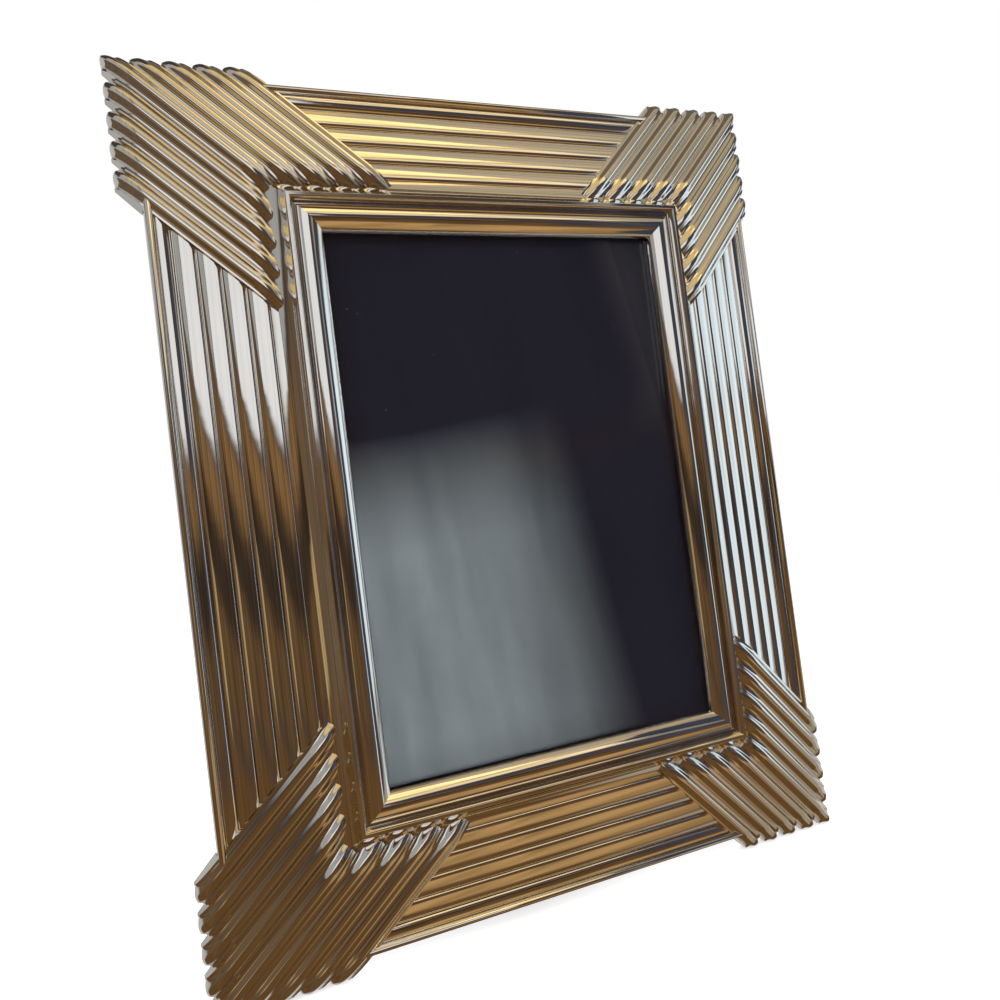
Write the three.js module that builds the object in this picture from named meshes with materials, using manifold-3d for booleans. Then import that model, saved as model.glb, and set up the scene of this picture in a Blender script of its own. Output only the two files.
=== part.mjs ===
// Standing photo frame: a one-piece silver-plated casting with reeded rails and a band of diagonal
// ribs across each corner, glazed, backed by a covered board and held up by a hinged easel strut.
// Panel coordinates: x to the right, y up the panel, z out of its front, with z = 0 at the rear rim.

import * as THREE from 'three';
import { mergeVertices } from 'three/addons/utils/BufferGeometryUtils.js';
import Module from 'manifold-3d';

// Driving dimensions, in millimetres and degrees

// Window seen from the front
const SIGHT_WIDTH = 113.5;
const SIGHT_HEIGHT = 165;

// Rail section, from the outer wall inwards
const ROLL_WIDTH = 6.3;
const ROLL_HEIGHT = 1.9;
const REED_COUNT = 4;
const REED_PITCH = 6.15;
const REED_HEIGHT = 0.9;
const BAND_WIDTH = 6.8;
const COVE_DEPTH = 1.3;
const FILLET_WIDTH = 1.3;
const QUIRK_WIDTH = 1.6;
const QUIRK_DEPTH = 2.5;
const BEAD_WIDTH = 7.3;
const BEAD_HEIGHT = 1.8;
const LIP_DROP = 1;

// Heights above the rear rim
const EDGE_GROOVE_HEIGHT = 6.5;
const REED_SLOPE = 0.27;
const FILLET_HEIGHT = 19.3;
const LIP_THICKNESS = 1.8;

// Walls of the hollow back
const FACE_WALL = 2.4;
const OUTER_WALL = 3.2;
const WEB_WALL = 2.5;
const REBATE_WALL = 3;
const REBATE_WIDTH = 7.5;

// Diagonal ribs across each corner
const RIBS_EACH_SIDE = 4;
const RIB_PITCH = 8.6;
const RIB_HEIGHT = 1.1;
const RIB_LIFT = 1.7;
const RIB_CREST_FLAT = 0.8;
const RIB_OVERLAP = 0.1;
const RIB_SKEW = 0.65;
const TAB_REACH = 7;
const NOSE_START = 0.4;
const NOSE_HEIGHT = 2.4;
const NOSE_STEPS = 3;
const RIB_BEVEL_STEPS = 2;
const RIB_ROOT = 0.9;

// Sheets behind the lip
const GLASS_THICKNESS = 2;
const INSERT_THICKNESS = 0.6;
const BOARD_THICKNESS = 3.8;
const SHEET_CLEARANCE = 0.5;
const SEAT_GAP = 0.3;
const REAR_SEAT = 0.3;

// Turn buttons and their screws
const BUTTONS_EACH_SIDE = 3;
const BUTTON_SPACING = 60;
const BUTTON_WIDTH = 8;
const BUTTON_THICKNESS = 1.2;
const BUTTON_OVERLAP = 6;
const BOSS_RADIUS = 4.5;
const BOSS_MERGE = 0.8;
const SCREW_RADIUS = 1.5;
const SCREW_HEAD_RADIUS = 3.2;
const SCREW_HEAD_HEIGHT = 1;
const SCREW_DEPTH = 5.5;
const SCREW_SLOT_WIDTH = 0.8;
const SCREW_SLOT_DEPTH = 0.5;

// Easel hinge and strut
const LEAN = 16;
const STRUT_OPENING = 29;
const HINGE_HEIGHT = 10;
const BARREL_RADIUS = 2.2;
const PIN_RADIUS = 1.1;
const PIN_OVERHANG = 0.4;
const HINGE_HALF_WIDTH = 14;
const KNUCKLE_HALF_WIDTH = 5.1;
const PLATE_LENGTH = 18;
const PLATE_THICKNESS = 1;
const STRAP_LENGTH = 22;
const RIVET_RADIUS = 1.3;
const RIVET_HEAD_RADIUS = 2.5;
const RIVET_HEAD_HEIGHT = 0.8;
const RIVET_DEPTH = 1.6;
const PLATE_RIVET_OFFSET = 9;
const PLATE_RIVET_RISE = 10;
const STRAP_RIVET_DROPS = [9, 17];
const STRUT_THICKNESS = 2.4;
const STRUT_TOP_WIDTH = 34;
const STRUT_FOOT_WIDTH = 58;
const STRUT_CORNER = 6;
const STANDING_FLAT = 0.4;
const ROUND_SEGMENTS = 24;

// Sizes that follow from the driving dimensions
const REEDS_END = ROLL_WIDTH + REED_COUNT * REED_PITCH;
const FILLET_START = REEDS_END + BAND_WIDTH;
const QUIRK_START = FILLET_START + FILLET_WIDTH;
const BEAD_START = QUIRK_START + QUIRK_WIDTH;
const RAIL_WIDTH = BEAD_START + BEAD_WIDTH;
const HALF_WIDTH = SIGHT_WIDTH / 2 + RAIL_WIDTH;
const HALF_HEIGHT = SIGHT_HEIGHT / 2 + RAIL_WIDTH;
const QUIRK_FLOOR = FILLET_HEIGHT - QUIRK_DEPTH;
const LIP_TOP = QUIRK_FLOOR - LIP_DROP;
const LIP_UNDERSIDE = LIP_TOP - LIP_THICKNESS;
const REBATE_EDGE = RAIL_WIDTH - REBATE_WIDTH;
const CHANNEL_END = REBATE_EDGE - REBATE_WALL;
const WEB_CENTRE = (OUTER_WALL + CHANNEL_END) / 2;
const SHEET_WIDTH = SIGHT_WIDTH + 2 * (REBATE_WIDTH - SHEET_CLEARANCE);
const SHEET_HEIGHT = SIGHT_HEIGHT + 2 * (REBATE_WIDTH - SHEET_CLEARANCE);
const GLASS_FRONT = LIP_UNDERSIDE - SEAT_GAP;
const INSERT_FRONT = GLASS_FRONT - GLASS_THICKNESS - SEAT_GAP;
const FILLER_FRONT = INSERT_FRONT - INSERT_THICKNESS - SEAT_GAP;
const FILLER_REAR = REAR_SEAT + BOARD_THICKNESS + SEAT_GAP;
const BUTTON_FRONT = REAR_SEAT - SEAT_GAP;
const BUTTON_REAR = BUTTON_FRONT - BUTTON_THICKNESS;
const PIVOT_X = SIGHT_WIDTH / 2 + REBATE_WIDTH + REBATE_WALL + BOSS_RADIUS - BOSS_MERGE;
const BUTTON_REACH = PIVOT_X - SHEET_WIDTH / 2 + BUTTON_OVERLAP;
const PLATE_FRONT = REAR_SEAT - SEAT_GAP;
const AXIS_DEPTH = PLATE_FRONT - BARREL_RADIUS;
const LEAN_ANGLE = THREE.MathUtils.degToRad(LEAN);
const OPENING_ANGLE = THREE.MathUtils.degToRad(STRUT_OPENING);
const HEEL_FACE = BARREL_RADIUS - PLATE_THICKNESS;
const STOP_HEEL = (HEEL_FACE - SEAT_GAP + HEEL_FACE * Math.cos(OPENING_ANGLE)) / Math.sin(OPENING_ANGLE);
const FLOOR_LEVEL = -(HALF_HEIGHT + TAB_REACH) * Math.cos(LEAN_ANGLE) + STANDING_FLAT;

// Finishes
const finish = (color, roughness, metalness) =>
  new THREE.MeshStandardMaterial({ color, roughness, metalness });
const silverPlate = () => finish(0xc9c4bb, 0.08, 1);
const clearGlass = () => finish(0xe8eeee, 0.02, 0);
const darkSheet = () => finish(0x16161f, 0.7, 0);
const greyFelt = () => finish(0x8a8780, 0.95, 0);
const blackVelvet = () => finish(0x17171b, 0.95, 0);
const brightSteel = () => finish(0xb4b4b2, 0.3, 1);
const brassPlate = () => finish(0xb08d4a, 0.3, 1);

const wasm = await Module();
wasm.setup();

// Turn a closed three.js geometry into a solid for joining and cutting
function solidOf(geometry) {
  const bare = geometry.index ? geometry.toNonIndexed() : geometry.clone();
  bare.deleteAttribute('normal');
  bare.deleteAttribute('uv');
  const merged = mergeVertices(bare, 1e-4);
  return new wasm.Manifold(new wasm.Mesh({
    numProp: 3,
    vertProperties: new Float32Array(merged.attributes.position.array),
    triVerts: new Uint32Array(merged.index.array),
  }));
}

// Turn a finished solid back into a geometry
function geometryOf(solid) {
  const { vertProperties, triVerts } = solid.getMesh();
  const geometry = new THREE.BufferGeometry();
  geometry.setAttribute('position', new THREE.BufferAttribute(new Float32Array(vertProperties), 3));
  geometry.setIndex(new THREE.BufferAttribute(new Uint32Array(triVerts), 1));
  geometry.computeVertexNormals();
  return geometry;
}

function box(x0, x1, y0, y1, z0, z1) {
  return new THREE.BoxGeometry(x1 - x0, y1 - y0, z1 - z0)
    .translate((x0 + x1) / 2, (y0 + y1) / 2, (z0 + z1) / 2);
}

// Round bar along z from z0 to z1
function post(radius, z0, z1) {
  return new THREE.CylinderGeometry(radius, radius, z1 - z0, ROUND_SEGMENTS)
    .rotateX(Math.PI / 2)
    .translate(0, 0, (z0 + z1) / 2);
}

// Round bar along x from x0 to x1
function bar(radius, x0, x1) {
  return new THREE.CylinderGeometry(radius, radius, x1 - x0, ROUND_SEGMENTS)
    .rotateZ(Math.PI / 2)
    .translate((x0 + x1) / 2, 0, 0);
}

// Flat outline in x and y, between two heights
function slab(outline, z0, z1) {
  return new THREE.ExtrudeGeometry(outline, { depth: z1 - z0, bevelEnabled: false, curveSegments: 6 })
    .translate(0, 0, z0);
}

// Everything on the far side of the surface that the frame stands on
function belowFloor(level, tilt) {
  const size = 4 * (HALF_WIDTH + HALF_HEIGHT);
  return new THREE.BoxGeometry(size, size, size).translate(0, level - size / 2, 0).rotateX(tilt);
}

// Height of the reed grooves at a distance from the outer wall
const grooveHeight = (inset) => EDGE_GROOVE_HEIGHT + REED_SLOPE * (inset - ROLL_WIDTH);
const channelRoof = (inset) => grooveHeight(inset) - FACE_WALL;
const ribValley = (inset) => grooveHeight(inset) + REED_HEIGHT + RIB_LIFT;

// Rail section as points of inset from the outer wall and height above the rear rim
function railSection() {
  const points = [[0, 0]];
  const rollSteps = 6;
  for (let i = 0; i <= rollSteps; i += 1) {
    const turn = Math.PI * i / rollSteps;
    const inset = ROLL_WIDTH * (1 - Math.cos(turn)) / 2;
    points.push([inset, EDGE_GROOVE_HEIGHT + ROLL_HEIGHT * Math.sin(turn)]);
  }
  const reedSteps = 5;
  for (let reed = 0; reed < REED_COUNT; reed += 1) {
    for (let i = 1; i <= reedSteps; i += 1) {
      const share = i / reedSteps;
      const inset = ROLL_WIDTH + (reed + share) * REED_PITCH;
      points.push([inset, grooveHeight(inset) + REED_HEIGHT * Math.sin(Math.PI * share)]);
    }
  }
  const rise = FILLET_HEIGHT - grooveHeight(REEDS_END);
  const coveChord = Math.hypot(BAND_WIDTH, rise);
  const coveSteps = 5;
  for (let i = 1; i < coveSteps; i += 1) {
    const share = i / coveSteps;
    const bow = COVE_DEPTH * (1 - (2 * share - 1) ** 2) / coveChord;
    points.push([REEDS_END + BAND_WIDTH * share + rise * bow,
      grooveHeight(REEDS_END) + rise * share - BAND_WIDTH * bow]);
  }
  points.push([FILLET_START, FILLET_HEIGHT], [QUIRK_START, FILLET_HEIGHT]);
  points.push([BEAD_START - QUIRK_WIDTH / 2, QUIRK_FLOOR], [BEAD_START, QUIRK_FLOOR]);
  const beadSteps = 6;
  for (let i = 1; i <= beadSteps; i += 1) {
    const share = i / beadSteps;
    const height = QUIRK_FLOOR - LIP_DROP * share + BEAD_HEIGHT * Math.sin(Math.PI * Math.sqrt(share));
    points.push([BEAD_START + BEAD_WIDTH * share, height]);
  }
  points.push([RAIL_WIDTH, LIP_UNDERSIDE], [REBATE_EDGE, LIP_UNDERSIDE]);
  points.push([REBATE_EDGE, REAR_SEAT], [OUTER_WALL, REAR_SEAT], [OUTER_WALL, 0], [0, 0]);
  return points;
}

// Section of one hollow at the back, between two insets
function channelSection(outer, inner) {
  const rear = -FACE_WALL;
  return [[outer, rear], [outer, channelRoof(outer)], [inner, channelRoof(inner)], [inner, rear], [outer, rear]];
}

// Mitred ring of a section: a four-sided lathe whose corners are drawn apart to the frame's rectangle
function mitredRing(section) {
  const core = 10;
  const profile = section.map(([inset, height]) =>
    new THREE.Vector2((RAIL_WIDTH - inset + core) * Math.SQRT2, height));
  const ring = new THREE.LatheGeometry(profile, 4, Math.PI / 4).rotateX(Math.PI / 2);
  const position = ring.attributes.position;
  for (let i = 0; i < position.count; i += 1) {
    const x = position.getX(i);
    const y = position.getY(i);
    position.setX(i, x + Math.sign(x) * (SIGHT_WIDTH / 2 - core));
    position.setY(i, y + Math.sign(y) * (SIGHT_HEIGHT / 2 - core));
  }
  return ring;
}

// One diagonal rib along +x, its crest rounded by the bevel, its outer end rolled down and its ends
// skewed towards the line of the rail that it crosses; the middle rib of a corner is skewed to a point
function cornerRib(lean) {
  const ribWidth = RIB_PITCH / Math.SQRT2 + RIB_OVERLAP;
  const tabValley = TAB_REACH - RIB_HEIGHT * 0.8;
  const innerEnd = FILLET_START + FILLET_WIDTH / 2;
  const underside = (inset) => grooveHeight(inset) - FACE_WALL / 2;
  const outline = [[innerEnd, ribValley(innerEnd)]];
  for (let i = 0; i <= NOSE_STEPS; i += 1) {
    const turn = Math.PI / 2 * i / NOSE_STEPS;
    const inset = -NOSE_START - (tabValley - NOSE_START) * Math.sin(turn);
    const drop = (ribValley(-NOSE_START) - NOSE_HEIGHT) * (1 - Math.cos(turn));
    outline.push([inset, ribValley(-NOSE_START) - drop]);
  }
  const cutDepth = -2 * RIB_HEIGHT;
  outline.push([-tabValley, cutDepth], [RIB_ROOT, cutDepth]);
  outline.push([RIB_ROOT, underside(RIB_ROOT)], [innerEnd, underside(innerEnd)]);
  const shape = new THREE.Shape(outline.map(([inset, height]) =>
    new THREE.Vector2(-inset * Math.SQRT2, height)));
  const rib = new THREE.ExtrudeGeometry(shape, {
    depth: RIB_CREST_FLAT,
    bevelEnabled: true,
    bevelThickness: (ribWidth - RIB_CREST_FLAT) / 2,
    bevelSize: RIB_HEIGHT,
    bevelSegments: RIB_BEVEL_STEPS,
  }).translate(0, 0, -RIB_CREST_FLAT / 2).rotateX(Math.PI / 2);
  const position = rib.attributes.position;
  for (let i = 0; i < position.count; i += 1) {
    const across = position.getY(i);
    const shift = lean === 0 ? Math.abs(across) : lean * across;
    position.setX(i, position.getX(i) - RIB_SKEW * shift);
  }
  return rib;
}

// Places of the turn-button pivots, left side first and from the bottom up
function pivotPlaces() {
  const places = [];
  for (const side of [-1, 1]) {
    for (let row = 0; row < BUTTONS_EACH_SIDE; row += 1) {
      const y = (row - (BUTTONS_EACH_SIDE - 1) / 2) * BUTTON_SPACING;
      places.push({ side, x: side * PIVOT_X, y });
    }
  }
  return places;
}

// The casting: rails, corner ribs and screw bosses in one piece
function frontFrame() {
  let casting = solidOf(mitredRing(railSection()));
  const ribs = new Map([-1, 0, 1].map((lean) => [lean, cornerRib(lean)]));
  for (const sx of [-1, 1]) {
    for (const sy of [-1, 1]) {
      for (let k = -RIBS_EACH_SIDE; k <= RIBS_EACH_SIDE; k += 1) {
        const x = sx * (HALF_WIDTH - Math.max(k, 0) * RIB_PITCH);
        const y = sy * (HALF_HEIGHT - Math.max(-k, 0) * RIB_PITCH);
        const rib = ribs.get(Math.sign(k) * sx * sy);
        const placed = rib.clone().rotateZ(Math.atan2(sy, sx)).translate(x, y, 0);
        casting = casting.add(solidOf(placed));
      }
    }
  }
  const web = [WEB_CENTRE - WEB_WALL / 2, WEB_CENTRE + WEB_WALL / 2];
  const channels = [channelSection(OUTER_WALL, web[0]), channelSection(web[1], CHANNEL_END)];
  channels.forEach((section) => {
    casting = casting.subtract(solidOf(mitredRing(section)));
  });
  const inset = HALF_WIDTH - PIVOT_X;
  const bossTop = channelRoof(inset) + FACE_WALL / 2;
  for (const { x, y } of pivotPlaces()) {
    const boss = post(BOSS_RADIUS, REAR_SEAT, bossTop).translate(x, y, 0);
    const hole = post(SCREW_RADIUS + SEAT_GAP, -1, SCREW_DEPTH + SEAT_GAP).translate(x, y, 0);
    casting = casting.add(solidOf(boss)).subtract(solidOf(hole));
  }
  const reach = 2 * (HALF_WIDTH + HALF_HEIGHT);
  const rear = box(-reach, reach, -reach, reach, -reach, 0);
  const floor = belowFloor(FLOOR_LEVEL, LEAN_ANGLE);
  return geometryOf(casting.subtract(solidOf(rear)).subtract(solidOf(floor)));
}

function sheet(front, rear) {
  return box(-SHEET_WIDTH / 2, SHEET_WIDTH / 2, -SHEET_HEIGHT / 2, SHEET_HEIGHT / 2, rear, front);
}

// Covered board that closes the back, with holes for the hinge rivets
function backBoard() {
  let board = solidOf(sheet(REAR_SEAT + BOARD_THICKNESS, REAR_SEAT));
  for (const side of [-1, 1]) {
    const hole = post(RIVET_RADIUS + SEAT_GAP, REAR_SEAT - 1, REAR_SEAT + RIVET_DEPTH + SEAT_GAP)
      .translate(side * PLATE_RIVET_OFFSET, HINGE_HEIGHT + PLATE_RIVET_RISE, 0);
    board = board.subtract(solidOf(hole));
  }
  return geometryOf(board);
}

// Turn button with its pivot at the origin and its arm along +x
function turnButton() {
  const half = BUTTON_WIDTH / 2;
  const outline = new THREE.Shape();
  outline.moveTo(0, -half);
  outline.lineTo(BUTTON_REACH - half, -half);
  outline.absarc(BUTTON_REACH - half, 0, half, -Math.PI / 2, Math.PI / 2, false);
  outline.lineTo(0, half);
  outline.absarc(0, 0, half, Math.PI / 2, Math.PI * 1.5, false);
  const eye = new THREE.Path();
  eye.absarc(0, 0, SCREW_RADIUS + SEAT_GAP, 0, Math.PI * 2, true);
  outline.holes.push(eye);
  return slab(outline, BUTTON_REAR, BUTTON_FRONT);
}

// Slotted screw with its head behind the turn button
function buttonScrew() {
  const headFront = BUTTON_REAR - SEAT_GAP;
  const headRear = headFront - SCREW_HEAD_HEIGHT;
  const head = solidOf(post(SCREW_HEAD_RADIUS, headRear, headFront));
  const shank = solidOf(post(SCREW_RADIUS, headFront - SCREW_HEAD_HEIGHT / 2, SCREW_DEPTH));
  const slot = box(-2 * SCREW_HEAD_RADIUS, 2 * SCREW_HEAD_RADIUS, -SCREW_SLOT_WIDTH / 2,
    SCREW_SLOT_WIDTH / 2, headRear - 1, headRear + SCREW_SLOT_DEPTH);
  return geometryOf(head.add(shank).subtract(solidOf(slot)));
}

// Rivet whose head lies behind a plate, with its shank reaching into the board
function rivet(headFront, tip) {
  const headRear = headFront - RIVET_HEAD_HEIGHT;
  const rim = headRear + RIVET_HEAD_HEIGHT / 2;
  const profile = [[0, headRear], [RIVET_HEAD_RADIUS / 2, headRear], [RIVET_HEAD_RADIUS, rim],
    [RIVET_HEAD_RADIUS, headFront], [RIVET_RADIUS, headFront], [RIVET_RADIUS, tip], [0, tip]];
  const points = profile.map(([radius, z]) => new THREE.Vector2(radius, z));
  return new THREE.LatheGeometry(points, ROUND_SEGMENTS).rotateX(Math.PI / 2);
}

// Fixed half of the hinge, with its axis on x at the origin
function hingePlate() {
  const front = BARREL_RADIUS;
  const cheek = KNUCKLE_HALF_WIDTH + SEAT_GAP;
  const notch = BARREL_RADIUS + 2 * SEAT_GAP;
  const outline = new THREE.Shape([[cheek, 0], [HINGE_HALF_WIDTH, 0], [HINGE_HALF_WIDTH, PLATE_LENGTH],
    [-HINGE_HALF_WIDTH, PLATE_LENGTH], [-HINGE_HALF_WIDTH, 0], [-cheek, 0], [-cheek, notch],
    [cheek, notch]].map(([x, y]) => new THREE.Vector2(x, y)));
  let plate = solidOf(slab(outline, front - PLATE_THICKNESS, front));
  for (const side of [-1, 1]) {
    const ends = [side * cheek, side * HINGE_HALF_WIDTH].sort((a, b) => a - b);
    const hole = post(RIVET_RADIUS + SEAT_GAP, -front, 2 * front)
      .translate(side * PLATE_RIVET_OFFSET, PLATE_RIVET_RISE, 0);
    plate = plate.add(solidOf(bar(BARREL_RADIUS, ...ends))).subtract(solidOf(hole));
  }
  const bore = bar(PIN_RADIUS + SEAT_GAP, -2 * HINGE_HALF_WIDTH, 2 * HINGE_HALF_WIDTH);
  return geometryOf(plate.subtract(solidOf(bore)));
}

// Moving half of the hinge: a knuckle, the strap that is riveted to the strut, and a heel above the
// knuckle that meets the fixed plate when the strut is fully open
function hingeStrap() {
  const rear = -BARREL_RADIUS;
  const knuckle = solidOf(bar(BARREL_RADIUS, -KNUCKLE_HALF_WIDTH, KNUCKLE_HALF_WIDTH));
  const half = KNUCKLE_HALF_WIDTH;
  const tongue = box(-half, half, -STRAP_LENGTH, STOP_HEEL, rear, rear + PLATE_THICKNESS);
  let strap = knuckle.add(solidOf(tongue));
  for (const drop of STRAP_RIVET_DROPS) {
    const hole = post(RIVET_RADIUS + SEAT_GAP, 2 * rear, 0).translate(0, -drop, 0);
    strap = strap.subtract(solidOf(hole));
  }
  const bore = bar(PIN_RADIUS + SEAT_GAP, -2 * KNUCKLE_HALF_WIDTH, 2 * KNUCKLE_HALF_WIDTH);
  return geometryOf(strap.subtract(solidOf(bore)));
}

// Covered strut hanging from the hinge axis, its foot cut level with the ground it stands on
const STRUT_REAR = -BARREL_RADIUS + PLATE_THICKNESS + SEAT_GAP;
function easelStrut() {
  const foot = LEAN_ANGLE - OPENING_ANGLE;
  const axisLevel = HINGE_HEIGHT * Math.cos(LEAN_ANGLE) + AXIS_DEPTH * Math.sin(LEAN_ANGLE);
  const floorLevel = FLOOR_LEVEL - axisLevel;
  const top = -BARREL_RADIUS - 3 * SEAT_GAP;
  const bottom = 1.1 * floorLevel / Math.cos(foot);
  const outline = new THREE.Shape();
  outline.moveTo(-STRUT_FOOT_WIDTH / 2, bottom);
  outline.lineTo(STRUT_FOOT_WIDTH / 2, bottom);
  outline.lineTo(STRUT_TOP_WIDTH / 2, top - STRUT_CORNER);
  outline.lineTo(STRUT_TOP_WIDTH / 2 - STRUT_CORNER, top);
  outline.lineTo(STRUT_CORNER - STRUT_TOP_WIDTH / 2, top);
  outline.lineTo(-STRUT_TOP_WIDTH / 2, top - STRUT_CORNER);
  outline.closePath();
  let strut = solidOf(slab(outline, STRUT_REAR, STRUT_REAR + STRUT_THICKNESS));
  for (const drop of STRAP_RIVET_DROPS) {
    const hole = post(RIVET_RADIUS + SEAT_GAP, STRUT_REAR - 1, STRUT_REAR + RIVET_DEPTH + SEAT_GAP)
      .translate(0, -drop, 0);
    strut = strut.subtract(solidOf(hole));
  }
  return geometryOf(strut.subtract(solidOf(belowFloor(floorLevel, foot))));
}

function piece(parent, name, geometry, material) {
  const mesh = new THREE.Mesh(geometry, material);
  mesh.name = name;
  parent.add(mesh);
  return mesh;
}

// Assembly on the panel
const panel = new THREE.Group();
piece(panel, 'front_frame', frontFrame(), silverPlate());
piece(panel, 'glass_pane', sheet(GLASS_FRONT, GLASS_FRONT - GLASS_THICKNESS), clearGlass());
piece(panel, 'display_insert', sheet(INSERT_FRONT, INSERT_FRONT - INSERT_THICKNESS), darkSheet());
piece(panel, 'filler_pad', sheet(FILLER_FRONT, FILLER_REAR), greyFelt());
piece(panel, 'back_board', backBoard(), blackVelvet());

pivotPlaces().forEach(({ side, x, y }, index) => {
  const button = piece(panel, `turn_button_${index + 1}`, turnButton(), brightSteel());
  button.position.set(x, y, 0);
  button.rotation.z = side > 0 ? Math.PI : 0;
  piece(panel, `button_screw_${index + 1}`, buttonScrew(), brightSteel()).position.set(x, y, 0);
});

// Hinge and strut share the axis
const hinge = new THREE.Group();
hinge.position.set(0, HINGE_HEIGHT, AXIS_DEPTH);
panel.add(hinge);
piece(hinge, 'hinge_plate', hingePlate(), brassPlate());
const pinEnd = HINGE_HALF_WIDTH + PIN_OVERHANG;
piece(hinge, 'hinge_pin', bar(PIN_RADIUS, -pinEnd, pinEnd), brassPlate());
const plateRear = BARREL_RADIUS - PLATE_THICKNESS;
const boardRear = REAR_SEAT - AXIS_DEPTH;
[-1, 1].forEach((side, index) => {
  const geometry = rivet(plateRear - SEAT_GAP, boardRear + RIVET_DEPTH);
  piece(hinge, `plate_rivet_${index + 1}`, geometry, brassPlate())
    .position.set(side * PLATE_RIVET_OFFSET, PLATE_RIVET_RISE, 0);
});

const strut = new THREE.Group();
strut.rotation.x = OPENING_ANGLE;
hinge.add(strut);
piece(strut, 'hinge_strap', hingeStrap(), brassPlate());
piece(strut, 'easel_strut', easelStrut(), blackVelvet());
STRAP_RIVET_DROPS.forEach((drop, index) => {
  const geometry = rivet(-BARREL_RADIUS - SEAT_GAP, STRUT_REAR + RIVET_DEPTH);
  piece(strut, `strap_rivet_${index + 1}`, geometry, brassPlate()).position.set(0, -drop, 0);
});

// Lean the panel back and stand it with the middle of its footprint on the origin
panel.rotation.x = Math.PI / 2 - LEAN_ANGLE;
const frame = new THREE.Group();
frame.add(panel);
frame.updateMatrixWorld(true);
const extent = new THREE.Box3().setFromObject(frame, true);
const middle = extent.getCenter(new THREE.Vector3());
frame.position.set(-middle.x, -middle.y, -extent.min.z);
frame.updateMatrixWorld(true);

export default frame;
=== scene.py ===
"""Standing photo frame: polished plated casting, glass, covered back and easel, dressed over its solids."""

import logging
import math
from dataclasses import dataclass
from enum import Enum
from typing import Any, Optional, Sequence

import bmesh
import bpy
import numpy as np
from mathutils import Matrix, Vector


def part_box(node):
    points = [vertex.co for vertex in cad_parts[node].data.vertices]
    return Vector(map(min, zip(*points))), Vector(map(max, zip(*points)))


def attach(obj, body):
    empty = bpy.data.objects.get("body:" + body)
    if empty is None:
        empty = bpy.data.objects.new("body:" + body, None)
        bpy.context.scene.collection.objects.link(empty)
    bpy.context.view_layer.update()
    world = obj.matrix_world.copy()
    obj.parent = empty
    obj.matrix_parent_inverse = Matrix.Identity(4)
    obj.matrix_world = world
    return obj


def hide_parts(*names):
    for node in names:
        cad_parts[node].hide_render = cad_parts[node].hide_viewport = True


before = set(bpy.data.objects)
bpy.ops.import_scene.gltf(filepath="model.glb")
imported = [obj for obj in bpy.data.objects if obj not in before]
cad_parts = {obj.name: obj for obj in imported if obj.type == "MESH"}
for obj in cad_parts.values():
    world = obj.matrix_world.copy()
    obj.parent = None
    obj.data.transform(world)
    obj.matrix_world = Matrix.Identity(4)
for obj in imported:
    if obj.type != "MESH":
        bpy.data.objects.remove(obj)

LOG = logging.getLogger("photo_frame")
MM = 0.001
ROOT2 = math.sqrt(2.0)
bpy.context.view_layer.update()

Socket = Any
Colour = tuple[float, float, float]
Triple = tuple[float, float, float]
Face = tuple[int, ...]


class Body(Enum):
    """Rigid bodies that the pieces ride on."""

    FRAME = "frame"
    STRUT = "strut"


class Slot(Enum):
    """Material kinds of the pieces made here."""

    SILVER = "silver_plate"
    VELVET = "velvet"
    STEEL = "steel"
    BRASS = "brass"


def link(name: str, data: Any) -> bpy.types.Object:
    """Put a mesh, lamp or camera into the scene.

    Args:
        name: Name of the object.
        data: What the object holds.

    Returns:
        The object, at the origin.
    """
    thing = bpy.data.objects.new(name, data)
    bpy.context.scene.collection.objects.link(thing)
    return thing


def circle(facets: int) -> list[tuple[float, float]]:
    """Cosine and sine of even steps round a circle."""
    angles = [2 * math.pi * step / facets for step in range(facets)]
    return [(math.cos(angle), math.sin(angle)) for angle in angles]


def quads(rows: int, columns: int, ring: bool, tube: bool, flipped: bool = False) -> list[Face]:
    """Join a grid of points, numbered row by row, with four-sided faces.

    Args:
        rows: Number of rows.
        columns: Points in each row.
        ring: Whether the last row joins the first.
        tube: Whether the last point of each row joins its first.
        flipped: Whether the faces are wound the other way.

    Returns:
        The faces, row by row.
    """
    faces = []
    for row in range(rows if ring else rows - 1):
        near, far = row * columns, (row + 1) % rows * columns
        for column in range(columns if tube else columns - 1):
            after = (column + 1) % columns
            first, second = near + column, far + column
            third, fourth = far + after, near + after
            faces.append((first, fourth, third, second) if flipped else (first, second, third, fourth))
    return faces


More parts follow.
